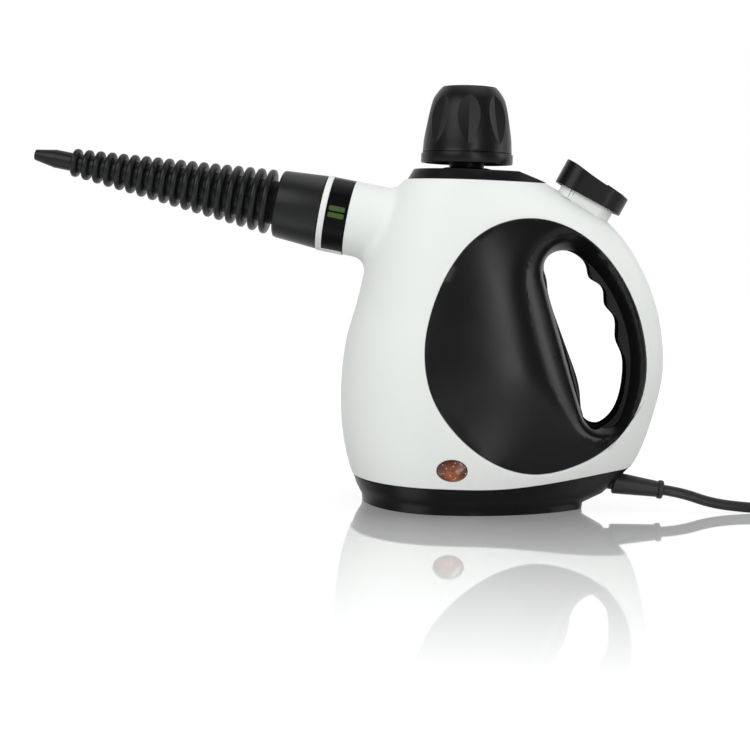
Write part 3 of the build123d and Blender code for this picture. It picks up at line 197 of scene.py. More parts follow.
# How far the lens stands out in its middle, how far its rim sits back, and how deep it goes
LENS_DOME, LENS_RIM, LENS_DEPTH = 0.9, 0.25, 2.2


def lens_polycarbonate(shade):
    """Tinted polycarbonate with a cut back: dark towards its rim, warmer low in the middle, with painted glints as
    bright specks.
    """
    material, add = blank("Amber polycarbonate, moulded facets")
    place = add("TexCoord").outputs["Object"]
    glint_cells = add("TexVoronoi", {"Vector": place, "Scale": 1000 / 2.1}, feature="F1")
    cloud = add("TexNoise", {"Vector": place, "Scale": 1000 / 5, "Detail": 4.0})
    where = add("VectorMath", {
        0: place, 1: Vector(LENS_MIDDLE) * MM - Vector((0, 0, 2.0)) * MM,
    }, operation="DISTANCE")
    rim = add("MapRange", {"Value": where, "From Min": 1.0 * MM, "From Max": 8.0 * MM, "To Min": 1.0, "To Max": 0.25})
    mixed = add("Math", {0: rim, 1: cloud}, operation="MULTIPLY")
    ramp = add("ValToRGB", {"Fac": mixed})
    stops = ramp.color_ramp
    stops.elements[0].position = 0.1
    stops.elements[0].color = tuple(c * 0.3 for c in shade) + (1,)
    stops.elements[1].position = 0.62
    stops.elements[1].color = tuple(min(1, c * 1.9) for c in shade) + (1,)
    stops.elements.new(0.34).color = tuple(c * 0.8 for c in shade) + (1,)
    # Painted glints: small pale spots in the colour that stand in for the sparkle of the facets
    painted_glint = add("Math", {0: glint_cells, 1: 0.13}, operation="LESS_THAN")
    tone = add("Mix", {0: painted_glint, 6: ramp, 7: (0.8, 0.7, 0.62, 1)}, data_type="RGBA")
    shader = add("BsdfPrincipled", {"Base Color": tone, "Roughness": 0.15, "IOR": 1.58, "Specular IOR Level": 0.4})
    add("OutputMaterial", {"Surface": shader})
    return material


def floor_sheet(shade):
    """Gloss white acrylic: it is plain white to the camera, keeps the shadow, and mirrors what stands near."""
    material, add = blank("White acrylic sheet, polished")
    place = add("TexCoord").outputs["Object"]
    spread = add("TexNoise", {"Vector": place, "Scale": 3.0, "Detail": 1.0})
    pale = tuple(shade) + (1,)
    deep = tuple(c * 0.985 for c in shade) + (1,)
    tone = add("Mix", {0: spread, 6: deep, 7: pale}, data_type="RGBA")
    diffuse = add("BsdfDiffuse", {"Color": tone})
    mirror = add("BsdfAnisotropic", {"Color": (1, 1, 1, 1), "Roughness": 0.04})
    path = add("LightPath")
    seen = add("Math", {0: path.outputs["Is Camera Ray"], 1: path.outputs["Is Glossy Ray"]}, operation="MAXIMUM")
    seen = add("Math", {0: seen, 1: path.outputs["Is Transmission Ray"]}, operation="MAXIMUM")
    where = add("SeparateXYZ", {"Vector": place})
    far = add("MapRange", {
        "Value": where.outputs["Y"], "From Min": -50 * MM, "From Max": 250 * MM, "To Min": 0.58, "To Max": 0.85,
    })
    lift = add("Math", {0: seen, 1: far}, operation="MULTIPLY")
    glow = add("Emission", {"Color": (1, 1, 1, 1), "Strength": lift})
    lifted = add("AddShader", {0: diffuse, 1: glow})
    # The mirror image fades with the distance from the cleaner, which is longer than it is wide
    beside = add("VectorMath", {0: place, 1: (0.55, 1.0, 0.0)}, operation="MULTIPLY")
    beside = add("VectorMath", {0: beside}, operation="LENGTH")
    near = add("MapRange", {
        "Value": beside, "From Min": 45 * MM, "From Max": 330 * MM, "To Min": 0.75, "To Max": 0.0,
    })
    both = add("MixShader", {0: near, 1: lifted, 2: mirror})
    add("OutputMaterial", {"Surface": both})
    return material


FINISHES = {}


def finishes():
    """Every finish of the cleaner, made once.

    A plastic's numbers are its roughness, the grain and depth of its texture, its gloss and the drift of its tone.
    """
    if FINISHES:
        return FINISHES
    colours = bpy.context.scene.cleaner_colours
    FINISHES.update({
        # Moulded ABS, fine satin: a clean white with a soft wide sheen and hardly any grain
        "white_plastic": plastic("White ABS, satin moulded", colours.housing, 0.5, 0.9, 0.006, 0.2, 0.012),
        # ABS from a spark-eroded mould: dull black whose fine grain spreads the light into broad soft bands; painted
        # shade takes the gloss off faces that look along the cleaner
        "black_plastic": plastic(
            "Black ABS, fine spark texture", colours.panel, 0.29, 0.5, 0.012, 0.21, 0.1, shaded_wall_gloss=0.0
        ),
        # Moulded polypropylene: a waxy black, duller than the panels
        "base_plastic": plastic("Black polypropylene, satin", colours.panel, 0.34, 0.6, 0.012, 0.12, 0.1),
        # ABS from a polished mould: deep black with narrow clear reflections
        "gloss_black": plastic("Black ABS, polished mould", colours.cap, 0.34, 1.4, 0.01, 0.2, 0.08),
        # Smooth acrylic: an even black with almost no sheen, from which the bars stand out
        "band_black": plastic("Black acrylic, high gloss", colours.cap, 0.2, 3.0, 0.002, 0.05, 0.05),
        # Heat-proof rubber: soft blurred highlights on a deep black
        "nozzle_rubber": plastic("Black EPDM rubber, moulded", colours.rubber, 0.38, 0.7, 0.012, 0.26, 0.1),
        # Extruded PVC: a greyer black with a broad dull sheen along the cord
        "cord_rubber": plastic("Black PVC cord sheath", colours.cord, 0.46, 0.8, 0.015, 0.4, 0.08),
        # Moulded silicone: an even, half-matt red-brown
        "seal_rubber": plastic("Red-brown silicone rubber", linear("#8C3A2A"), 0.5, 0.8, 0.01),
        # Moulded nitrile: an even, half-matt black
        "cap_seal_rubber": plastic("Black nitrile rubber", linear("#141414"), 0.5, 0.8, 0.01, 0.3),
        # Printed ink: a flat green that is uneven from spot to spot
        "green_print": plastic("Green pad print", colours.bars, 0.35, 0.4, 0.01, 0.2, 0.3),
        "amber_lens": lens_polycarbonate(colours.lens),
        # Etched glass: warm orange under a thin clear gloss
        "neon_glass": plastic("Neon lamp glass, etched", linear("#C9783F"), 0.15, 2.0, 0.003, 0.5, 0.1, 0.5),
        # Pressed sheet: a pale satin metal with faint draw marks
        "boiler_aluminium": metal("Aluminium sheet, pressed", linear("#C9CBCD"), 0.34, 3.0, 0.02),
        # Zinc plate: a cool grey with blurred reflections
        "steel": metal("Zinc-plated steel", linear("#B9BCC0"), 0.28, 1.2, 0.01),
        # Machined brass: a warm yellow with fine tool marks
        "brass": metal("Brass, machined", linear("#C8A25A"), 0.26, 0.8, 0.01),
        # Nickel plate: a pale metal with the clearest reflections here
        "contact_metal": metal("Nickel-plated brass", linear("#C7C3B4"), 0.18, 1.5, 0.004),
        # Unglazed steatite: a matt chalky white
        "ceramic": plastic("Steatite, unglazed", linear("#E4DCCB"), 0.7, 0.3, 0.02, 0.3, 0.05),
    })
    return FINISHES


def placed(name, data):
    """A new object in the scene."""
    item = bpy.data.objects.new(name, data)
    bpy.context.scene.collection.objects.link(item)
    return item


def keep(name, mesh, finish, body="cleaner", replaced=()):
    """Makes a mesh a piece of the cleaner in its finish, attached to the given body; the nodes it stands for are
    hidden.
    """
    piece = placed(name, mesh)
    mesh.materials.clear()
    mesh.materials.append(finishes()[finish])
    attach(piece, body)
    if replaced:
        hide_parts(*replaced)
    return piece


def mesh_of(name, points, faces):
    mesh = bpy.data.meshes.new(name)
    mesh.from_pydata([tuple(p) for p in points], [], faces)
    mesh.update()
    return mesh


@contextmanager
def edited(mesh):
    """The mesh as a bmesh, which is written back when the work on it ends."""
    form = bmesh.new()
    form.from_mesh(mesh)
    yield form
    form.to_mesh(mesh)
    form.free()


def tidy(mesh):
    """Joins doubled corners and turns every face outwards."""
    with edited(mesh) as form:
        bmesh.ops.remove_doubles(form, verts=form.verts, dist=JOIN)
        bmesh.ops.dissolve_degenerate(form, edges=form.edges, dist=JOIN / 2)
        bmesh.ops.recalc_face_normals(form, faces=form.faces)


def smooth(mesh, angle):
    mesh.shade_smooth()
    mesh.set_sharp_from_angle(angle=radians(angle))


def lathed(name, profile, place, sides=128):
    """A closed solid of revolution about its own Z, from (radius, height) points in millimetres."""
    points, faces = [], []
    count = len(profile)
    for side in range(sides):
        turn = 2 * pi * side / sides
        points += [(r * cos(turn) * MM, r * sin(turn) * MM, z * MM) for r, z in profile]
    for side in range(sides):
        here, there = side * count, (side + 1) % sides * count
        for i in range(count):
            j = (i + 1) % count
            faces.append((here + i, there + i, there + j, here + j))
    mesh = mesh_of(name, points, faces)
    mesh.transform(place)
    tidy(mesh)
    return mesh


def rounded(corners, radii, steps=5):
    """A closed (radius, height) outline with its corners rounded by the given radii."""
    outline = []
    for i, (corner, radius) in enumerate(zip(corners, radii)):
        here = Vector(corner)
        if not radius:
            outline.append(tuple(here))
            continue
        before = (Vector(corners[i - 1]) - here).normalized()
        after = (Vector(corners[(i + 1) % len(corners)]) - here).normalized()
        half = before.angle(after) / 2
        middle = here + (before + after).normalized() * radius / sin(half)
        start = here + before * radius / tan(half) - middle
        sweep = start.angle_signed(here + after * radius / tan(half) - middle)
        for step in range(steps + 1):
            turn = -sweep * step / steps
            outline.append((
                middle.x + start.x * cos(turn) - start.y * sin(turn),
                middle.y + start.x * sin(turn) + start.y * cos(turn),
            ))
    return outline


def frame_matrix(origin, x_axis, z_axis):
    """A place from its origin in millimetres and two of its axes."""
    x, z = Vector(x_axis).normalized(), Vector(z_axis).normalized()
    y = z.cross(x)
    matrix = Matrix((x, y, z)).transposed().to_4x4()
    matrix.translation = Vector(origin) * MM
    return matrix


TILT = radians(9.45)
NOZZLE = frame_matrix((-75.8, 0, 156.0), (0, 1, 0), (-cos(TILT), 0, sin(TILT)))
SLOPE = radians(26.6)
BUTTON = frame_matrix((65.2, 0, 168.0), (cos(SLOPE), 0, -sin(SLOPE)), (sin(SLOPE), 0, cos(SLOPE)))
DIP = radians(6.1)
RELIEF = frame_matrix((84.3, 0, 14.85), (0, 1, 0), (cos(DIP), 0, -sin(DIP)))
# Distances along the nozzle's line from its start, in millimetres
BAND_END, RING_END = -2.1, 1.2
CONNECTOR_START, CONNECTOR_END = 1.5, 26.2
# How far a rib goes in from its crown
RIB_DEPTH = 8


def dressed(node, name, finish, body="cleaner", edge=0.0):
    """A node's own shape with joined corners, smooth faces and rounded edges, standing for the node."""
    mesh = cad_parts[node].data.copy()
    with edited(mesh) as form:
        bmesh.ops.remove_doubles(form, verts=form.verts, dist=JOIN)
    smooth(mesh, SOFT_ANGLE)
    piece = keep(name, mesh, finish, body, (node,))
    if edge:
        bevel = piece.modifiers.new("edges", "BEVEL")
        bevel.width = edge
        bevel.segments = 2
        bevel.limit_method = "ANGLE"
        bevel.angle_limit = radians(40)
        bevel.use_clamp_overlap = False
        bevel.harden_normals = False
    return piece


# The camera that was fitted to the photograph: lens and sensor in millimetres, distance in metres
CAMERA_LENS, CAMERA_SENSOR, CAMERA_DISTANCE = 67.2, 36, 0.77
CAMERA_AIM = Vector((-45.77, 0, 68.40)) * MM
CAMERA_TURN, CAMERA_DIP, CAMERA_ROLL = radians(4.093), radians(6.15), radians(1.864)
CAMERA_BACK = Vector((
    sin(CAMERA_TURN) * cos(CAMERA_DIP), -cos(CAMERA_TURN) * cos(CAMERA_DIP), sin(CAMERA_DIP)
))

LAMP_AIM = Vector((0, 0, 0.1))
# Name, place, width, height, power, and the turn about the line to the cleaner in degrees
LAMPS = [
    ("key", (-0.62, -0.8, 0.75), 0.8, 0.8, 6.7, 0),
    ("top", (0.1, 0.1, 1.15), 0.9, 0.7, 2.8, 0),
    ("front", (0.4, -1.06, 0.36), 0.16, 0.8, 3.4, 20),
    ("side", (1.1, 0.1, 0.55), 0.5, 0.8, 3.4, 0),
]
FLOOR_REACH = 3.0


def lamp(name, place, width, height, power, lean):
    """An area lamp that looks at the cleaner; lean turns it about its own line of sight, in degrees."""
    light = bpy.data.lights.new(name, "AREA")
    light.shape = "RECTANGLE"
    light.size, light.size_y = width, height
    light.energy = power
    holder = placed(name, light)
    holder.location = place
    look = (LAMP_AIM - Vector(place)).to_track_quat("-Z", "Y").to_matrix()
    holder.rotation_euler = (look @ Matrix.Rotation(radians(lean), 3, "Z")).to_euler()


class CLEANER_OT_stage(bpy.types.Operator):
    """Sets up the camera, the studio light, the world and the pale floor"""

    bl_idname = "cleaner.stage"
    bl_label = "Stage"

    def execute(self, context):
        scene = context.scene
        scene.view_settings.view_transform = "Standard"
        eye = bpy.data.cameras.new("camera")
        eye.lens, eye.sensor_width = CAMERA_LENS, CAMERA_SENSOR
        eye.clip_start, eye.clip_end = 0.02, 20
        camera = placed("camera", eye)
        turn = (-CAMERA_BACK).to_track_quat("-Z", "Y").to_matrix()
        roll = Matrix.Rotation(CAMERA_ROLL, 3, "Z")
        place = CAMERA_AIM + CAMERA_BACK * CAMERA_DISTANCE
        camera.matrix_world = Matrix.Translation(place) @ (turn @ roll).to_4x4()
        scene.camera = camera
        self.light(scene)
        self.ground(scene.cleaner_colours)
        return {"FINISHED"}

    def light(self, scene):
        world = bpy.data.worlds.new("studio")
        world.use_nodes = True
        world.node_tree.nodes.clear()
        add = partial(put, world.node_tree)
        path = add("LightPath")
        seen = add("Math", {
            0: path.outputs["Is Camera Ray"], 1: path.outputs["Is Transmission Ray"],
        }, operation="MAXIMUM")
        # What shines sees the white backdrop behind the cleaner and the dim room on the camera's side
        way = add("TexCoord").outputs["Generated"]
        way = add("SeparateXYZ", {"Vector": way})
        room = add("MapRange", {
            "Value": way.outputs["Y"], "From Min": -0.1, "From Max": 0.8, "To Min": 0.12, "To Max": 1.0,
        }, interpolation_type="SMOOTHSTEP")
        level = add("Mix", {0: path.outputs["Is Glossy Ray"], 2: 0.42, 3: room}, data_type="FLOAT")
        level = add("Math", {0: seen, 1: level}, operation="MAXIMUM")
        sky = add("Background", {"Color": (1, 1, 1, 1), "Strength": level})
        add("OutputWorld", {"Surface": sky})
        scene.world = world
        for row in LAMPS:
            lamp(*row)

    def ground(self, colours):
        corners = [(x * FLOOR_REACH, y * FLOOR_REACH, 0) for x, y in ((-1, -1), (1, -1), (1, 1), (-1, 1))]
        mesh = mesh_of("floor", corners, [(0, 1, 2, 3)])
        mesh.materials.append(floor_sheet(colours.floor))
        placed("floor", mesh)


# The cord's corners from the relief to the coil, in millimetres, and the coil's sizes
CORD_ROUTE = [
    (113.73, 0, 11.70), (123.97, 0, 10.61), (141, 2, 5), (163, 5, 2.95), (188, 5, 2.9), (208.2, 5, 2.9),
]
COIL_X, COIL_Y, COIL_REACH, COIL_PITCH = 214.0, -39.0, 44.0, 6.3
COIL_LOWER, COIL_UPPER, CORD_LOW, CORD_HIGH = 6, 7, 2.9, 9.2
HALF_STEPS = 8


def coil_points():
    """Control points of the coil: half turns inwards, one that climbs, and half turns outwards on top."""
    points = []
    reach, side, height = COIL_REACH, 1, CORD_LOW
    for half in range(COIL_LOWER + 1 + COIL_UPPER):
        start_reach, start_height = reach, height
        if half <= COIL_LOWER:
            reach -= COIL_PITCH / 2
        elif half == COIL_LOWER + 1:
            reach += COIL_PITCH
        else:
            reach += COIL_PITCH / 2
        if half == COIL_LOWER:
            height = CORD_HIGH
        middle = COIL_Y + side * (start_reach - reach) / 2
        radius = (start_reach + reach) / 2 / cos(pi / HALF_STEPS / 2)
        for step in range(HALF_STEPS):
            share = (step + 0.5) / HALF_STEPS
            points.append((
                COIL_X + side * radius * sin(pi * share),
                middle + side * radius * cos(pi * share),
                start_height + (height - start_height) * share,
            ))
        side = -side
    return points


TAIL_POINTS = [(224.7, 8.15, 9.2), (234.0, 13.51, 9.2), (239.02, 16.41, 9.2)]


class CLEANER_OT_cord(bpy.types.Operator):
    """Lays the mains cord: out of the relief, along the floor and into a coil that ends in the plug"""

    bl_idname = "cleaner.cord"
    bl_label = "Cord and plug"

    def execute(self, context):
        sizes = context.scene.cleaner_sizes
        points = CORD_ROUTE + coil_points() + TAIL_POINTS
        line = bpy.data.curves.new("mains_cord", "CURVE")
        line.dimensions = "3D"
        line.bevel_depth = sizes.cord_radius
        line.bevel_resolution = 6
        line.resolution_u = 8
        line.use_fill_caps = True
        spline = line.splines.new("NURBS")
        spline.points.add(len(points) - 1)
        for point, (x, y, z) in zip(spline.points, points):
            point.co = (x * MM, y * MM, z * MM, 1)
        spline.order_u = 3
        spline.use_endpoint_u = True
        line.materials.append(finishes()["cord_rubber"])
        cord = placed("mains_cord", line)
        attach(cord, "cleaner")
        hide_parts("cord", "cord_coil")
        plug = dressed("plug_body", "moulded_plug", "base_plastic", edge=0.5 * MM)
        blades = dressed("plug_blades", "plug_pins", "contact_metal", edge=0.25 * MM)
        self.relief()
        return {"FINISHED"}

    def relief(self):
        """The tapered sleeve with its end flange, smooth in one piece."""
        profile = rounded(
            [(2.9, -14), (4.8, -14), (4.8, -7), (3.9, -7), (3.9, 2), (6.1, 2), (4.35, 26.8), (5.1, 26.8),
             (5.1, 29.6), (2.9, 29.6)],
            [0, 0, 0, 0, 0, 1.2, 0.5, 0.7, 0.9, 0.4],
        )
        mesh = lathed("strain_sleeve", profile, RELIEF, 64)
        smooth(mesh, TURNED_ANGLE)
        keep("strain_sleeve", mesh, "cord_rubber", replaced=("strain_relief",))


# The grid of x and z that covers a panel, in millimetres
GRID_X, GRID_Z = range(-24, 108), range(16, 164)


def skin_over(tree, side, x, z):
    """Where a panel's outer skin lies over x and z, or None. side is -1 for the left panel."""
    hit = tree.ray_cast(Vector((x, side * 0.2, z)), Vector((0, -side, 0)))[0]
    return hit.y if hit and side * hit.y > 2 * MM else None


def heights_of(tree, side):
    """How far out a panel's skin lies over a grid of x and z, all in millimetres."""
    heights = {}
    for i in GRID_X:
        for k in GRID_Z:
            skin = skin_over(tree, side, i * MM, k * MM)
            if skin is not None:
                heights[i, k] = side * skin / MM
    return heights


def from_opening(heights):
    """How far each place of the grid lies from the opening's edge."""
    rows = {}
    for i, k in heights:
        rows.setdefault(k, []).append(i)
    gaps = [
        (i, k) for k, row in rows.items() for a, b in zip(sorted(row), sorted(row)[1:]) if b - a > 3
        for i in range(a + 1, b)
    ]
    tree = KDTree(len(gaps))
    for index, (i, k) in enumerate(gaps):
        tree.insert((i, 0, k), index)
    tree.balance()
    return {(i, k): tree.find((i, 0, k))[2] for i, k in heights}


def steepness(heights, i, k):
    """How far the skin falls in one step of the grid."""
    here = heights[i, k]
    along = heights.get((i + 1, k), here) - heights.get((i - 1, k), here)
    up = heights.get((i, k + 1), here) - heights.get((i, k - 1), here)
    return hypot(along, up) / 2


def soft_step(value, low, high):
    share = min(1.0, max(0.0, (value - low) / (high - low)))
    return share * share * (3 - 2 * share)


# Rounds of averaging that draw the crease out, and the distances from the opening between which they work
EASE_ROUNDS = 120
EASE_IN, EASE_OUT = (2.0, 6.0), (20.0, 28.0)
# The grip behind the opening lies lower than this and keeps its form
EASE_HEIGHTS = 17.0, 32.0
# Steeper skin than this is left as it is
EASE_STEEP = 1.5, 3.0
# Edges longer than this are cut where the skin moves by more than the least move
LONG_EDGE, LEAST_MOVE = 1.8, 0.02


def eased(heights):
    """How much each place moves when the crease round the opening is drawn out into a soft curve."""
    away = from_opening(heights)
    free = {}
    for place, far in away.items():
        share = soft_step(far, *EASE_IN) * (1 - soft_step(far, *EASE_OUT)) * soft_step(heights[place], *EASE_HEIGHTS)
        share *= 1 - soft_step(steepness(heights, *place), *EASE_STEEP)
        if share > 0:
            free[place] = share
    now = dict(heights)
    for _ in range(EASE_ROUNDS):
        change = {}
        for (i, k), share in free.items():
            near = now.get((i - 1, k)), now.get((i + 1, k)), now.get((i, k - 1)), now.get((i, k + 1))
            if None not in near:
                change[i, k] = share * (sum(near) / 4 - now[i, k]) / 2
        for place, step in change.items():
            now[place] += step
    return {place: now[place] - height for place, height in heights.items()}


def sampled(grid, spot):
    """A grid's value at a place in metres, between its four nearest places."""
    u, v = spot.x / MM, spot.z / MM
    i, k = floor(u), floor(v)
    corners = grid.get((i, k)), grid.get((i + 1, k)), grid.get((i, k + 1)), grid.get((i + 1, k + 1))
    if None in corners:
        return None
    a, b, c, d = corners
    u, v = u - i, v - k
    return (a * (1 - u) + b * u) * (1 - v) + (c * (1 - u) + d * u) * v


def ease_crease(mesh, side):
    """Turns the crease where a panel rolls into the opening into a soft curve."""
    with edited(mesh) as form:
        bmesh.ops.triangulate(form, faces=form.faces)
        tree = BVHTree.FromBMesh(form)
        moves = eased(heights_of(tree, side))

        def moved(spot):
            move = sampled(moves, spot)
            if not move:
                return 0.0
            skin = skin_over(tree, side, spot.x, spot.z)
            return move if skin is not None and abs(skin - spot.y) < 0.1 * MM else 0.0

        for _ in range(4):
            long = [
                edge for edge in form.edges if edge.calc_length() > LONG_EDGE * MM
                and abs(moved((edge.verts[0].co + edge.verts[1].co) / 2)) > LEAST_MOVE
            ]
            if not long:
                break
            bmesh.ops.subdivide_edges(form, edges=long, cuts=1)
            bmesh.ops.triangulate(form, faces=form.faces)
        for vert in form.verts:
            vert.co.y += side * moved(vert.co) * MM
        bmesh.ops.dissolve_degenerate(form, edges=form.edges, dist=0.01 * MM)


class CLEANER_OT_shells(bpy.types.Operator):
    """Dresses the housing halves, side panels, base tray and top plate"""

    bl_idname = "cleaner.shells"
    bl_label = "Housing, panels and base"

    def execute(self, context):
        edge = context.scene.cleaner_sizes.edge
        for side, sign in (("left", -1), ("right", 1)):
            dressed(f"housing_{side}", f"shell_{side}", "white_plastic", edge=edge)
            panel = dressed(f"side_panel_{side}", f"grip_panel_{side}", "black_plastic", edge=edge)
            ease_crease(panel.data, sign)
            smooth(panel.data, SOFT_ANGLE)
        dressed("base_tray", "base_pan", "base_plastic", edge=edge)
        dressed("top_plate", "neck_plate", "base_plastic", edge=0.3 * MM)
        return {"FINISHED"}


# The cap's outline from its groove to its crown, radius and height in millimetres
CAP_OUTLINE = [
    (24.1, 190.6), (23.95, 191.2), (23.5, 197.5), (22.65, 205.0), (21.9, 210.0), (20.7, 214.8), (19.6, 217.8),
    (18.3, 220.3), (17.0, 222.2), (15.6, 223.9), (14.6, 224.8), (13.2, 225.25), (6.0, 225.35), (0.0, 225.4),
]
# A flute's ends and its radius at each, how fast it opens, how far it is hollowed, and the first one's turn
FLUTE_LOW, FLUTE_HIGH, FLUTE_LOW_RADIUS, FLUTE_HIGH_RADIUS = 195.0, 219.5, 23.6, 18.4
FLUTE_SPREAD = tan(radians(12))
FLUTE_SCOOP = 0.65
FLUTE_TURN = 1.5
CAP_WALL = 2.2


def cap_radius(height):
    """The cap's outline radius at a height, on a smooth line through the outline's points."""
    low = 0
    while low < len(CAP_OUTLINE) - 2 and height > CAP_OUTLINE[low + 1][1]:
        low += 1
    a, b = CAP_OUTLINE[low], CAP_OUTLINE[low + 1]
    before = CAP_OUTLINE[max(low - 1, 0)]
    after = CAP_OUTLINE[min(low + 2, len(CAP_OUTLINE) - 1)]
    share = (height - a[1]) / (b[1] - a[1])
    span = b[1] - a[1]
    rise_a = (b[0] - before[0]) / (b[1] - before[1]) * span
    rise_b = (after[0] - a[0]) / (after[1] - a[1]) * span
    s, t = share, 1 - share
    return a[0] * (1 + 2 * s) * t * t + rise_a * s * t * t + b[0] * s * s * (3 - 2 * s) - rise_b * s * s * t


def flute_half_angle(height):
    """How far round from its middle a flute reaches at a height."""
    share = (height - FLUTE_LOW) / (FLUTE_HIGH - FLUTE_LOW)
    chord = FLUTE_LOW_RADIUS + (FLUTE_HIGH_RADIUS - FLUTE_LOW_RADIUS) * share
    chord -= FLUTE_SCOOP * 4 * share * (1 - share)
    full = cap_radius(height)
    if full <= chord:
        return 0.0, chord
    low, high = 0.0, radians(22)
    for _ in range(40):
        middle = (low + high) / 2
        if full * (cos(middle) - FLUTE_SPREAD * sin(middle)) > chord:
            low = middle
        else:
            high = middle
    return low, chord


class CLEANER_OT_cap(bpy.types.Operator):
    """Makes the screw cap with its pointed flutes, rim band and groove"""

    bl_idname = "cleaner.cap"
    bl_label = "Cap"

    def execute(self, context):
        sizes = context.scene.cleaner_sizes
        heights = [190.6, 191.2, 192.0, 193.0, 194.0]
        heights += [194.8 + 0.5 * i for i in range(49)]
        heights += [219.3, 219.8, 220.6, 221.4, 222.2, 222.9, 223.5, 224.0, 224.4, 224.8, 225.0, 225.15, 225.25]
        rows = [self.round_row(r, z, sizes.flute_count) for r, z in self.rim(sizes.cap_rim / MM)]
        first = len(rows)
        rows += [self.fluted_row(z, sizes.flute_count) for z in heights]
        rows += [self.round_row(r, z, sizes.flute_count) for r, z in ((6.0, 225.35), (0.0, 225.4))]
        mesh = self.skin(rows, first, first + len(heights), sizes.flute_count)
        keep("screw_cap", mesh, "gloss_black", "cap_shell", ("cap_shell",))
        return {"FINISHED"}

    def rim(self, radius):
        """The inside of the cup from its crown down, then the rim band and the groove."""
        inner = radius - CAP_WALL
        return [
            (0.0, 223.2), (13.3, 223.2), (13.3, 187.0), (15.0, 187.0), (15.0, 223.0), (15.3, 223.0),
            (inner, 190.0), (inner, 184.9), (inner + 0.2, 184.7), (radius - 0.5, 184.7), (radius - 0.15, 184.85),
            (radius, 185.2), (radius, 189.4), (radius - 0.12, 189.8), (radius - 0.45, 190.0), (23.75, 190.05),
            (23.7, 190.3), (23.85, 190.5),
        ]

    def row(self, height, flutes, column):
        """A ring of points; column gives the angle from the flute's middle, and the radius."""
        points = []
        for flute in range(flutes):
            middle = radians(FLUTE_TURN) + 2 * pi * flute / flutes
            for part in SECTOR:
                off, radius = column(*part)
                points.append((radius * cos(middle + off), radius * sin(middle + off), height))
        return points

    def round_row(self, radius, height, flutes):
        return self.row(height, flutes, lambda place, kind, step: (place * 2 * pi / flutes, radius))

    def fluted_row(self, height, flutes):
        half, chord = flute_half_angle(height)
        full = cap_radius(height)

        def column(place, kind, step):
            if kind == "land":
                return half + (2 * pi / flutes - 2 * half) * step, full
            off = half * step
            return off, min(full, chord / (cos(off) - FLUTE_SPREAD * abs(sin(off)))) if half else full

        return self.row(height, flutes, column)

    def skin(self, rows, first, last, flutes):
        width = len(rows[0])
        points = [(x * MM, y * MM, z * MM) for row in rows for x, y, z in row]
        faces = []
        for r in range(len(rows) - 1):
            for c in range(width):
                d = (c + 1) % width
                faces.append((r * width + c, r * width + d, (r + 1) * width + d, (r + 1) * width + c))
        mesh = mesh_of("screw_cap", points, faces)
        sharp = {i for i, (place, kind, step) in enumerate(SECTOR) if kind == "flute" and step in (-1, 0, 1)}
        sharp_columns = {c for c in range(width) if c % len(SECTOR) in sharp}
        with edited(mesh) as form:
            for edge in form.edges:
                a, b = sorted(v.index for v in edge.verts)
                ridge = b - a == width and a % width in sharp_columns and first <= a // width < last - 1
                edge.smooth = not ridge
            for face in form.faces:
                face.smooth = True
            bmesh.ops.remove_doubles(form, verts=form.verts, dist=2 * JOIN)
            bmesh.ops.dissolve_degenerate(form, edges=form.edges, dist=JOIN)
            bmesh.ops.recalc_face_normals(form, faces=form.faces)
            for edge in form.edges:
                if len(edge.link_faces) == 2 and edge.calc_face_angle(0) > radians(38):
                    edge.smooth = False
        return mesh


# Columns of one flute's share of the cap: across the flute, then across the plain part beside it
FLUTE_STEPS = [i / 6 for i in range(-6, 7)]
SECTOR = [(step * 0.25, "flute", step) for step in FLUTE_STEPS]
SECTOR += [(0.25 + 0.5 * (i + 1) / 6, "land", (i + 1) / 6) for i in range(5)]


class CLEANER_OT_button(bpy.types.Operator):
    """Dresses the steam button, its collar and the lock slider"""

    bl_idname = "cleaner.button"
    bl_label = "Button"

    def execute(self, context):
        for node, name, edge in (("steam_button", "steam_rocker", 0.35), ("lock_slider", "lock_ridge", 0.25)):
            dressed(node, name, "gloss_black", node, edge=edge * MM)
        dressed("button_collar", "button_seat", "white_plastic", edge=0.25 * MM)
        return {"FINISHED"}


def group_tree(name, **inputs):
    """A geometry tree whose inputs' names are given under their kinds; returns it with put for it and its inputs."""
    tree = bpy.data.node_groups.new(name, "GeometryNodeTree")
    tree.interface.new_socket("Geometry", in_out="INPUT", socket_type="NodeSocketGeometry")
    for kind, labels in inputs.items():
        for label in labels:
            tree.interface.new_socket(label, in_out="INPUT", socket_type="NodeSocket" + kind)
    tree.interface.new_socket("Geometry", in_out="OUTPUT", socket_type="NodeSocketGeometry")
    add = partial(put, tree)
    return tree, add, add("NodeGroupInput").outputs


def grow(name, mesh, tree, values):
    """Runs a geometry tree on a mesh with the named values and returns the result as a plain mesh."""
    holder = placed(name, mesh)
    modifier = holder.modifiers.new("rule", "NODES")
    modifier.node_group = tree
    for item in tree.interface.items_tree:
        if item.item_type == "SOCKET" and item.in_out == "INPUT" and item.name in values:
            modifier[item.identifier] = values[item.name]
    graph = bpy.context.evaluated_depsgraph_get()
    result = bpy.data.meshes.new_from_object(holder.evaluated_get(graph), depsgraph=graph)
    if not result.vertices:
        raise RuntimeError(f"{name}: its geometry tree made nothing")
    bpy.data.objects.remove(holder)
    result.name = name
    return result


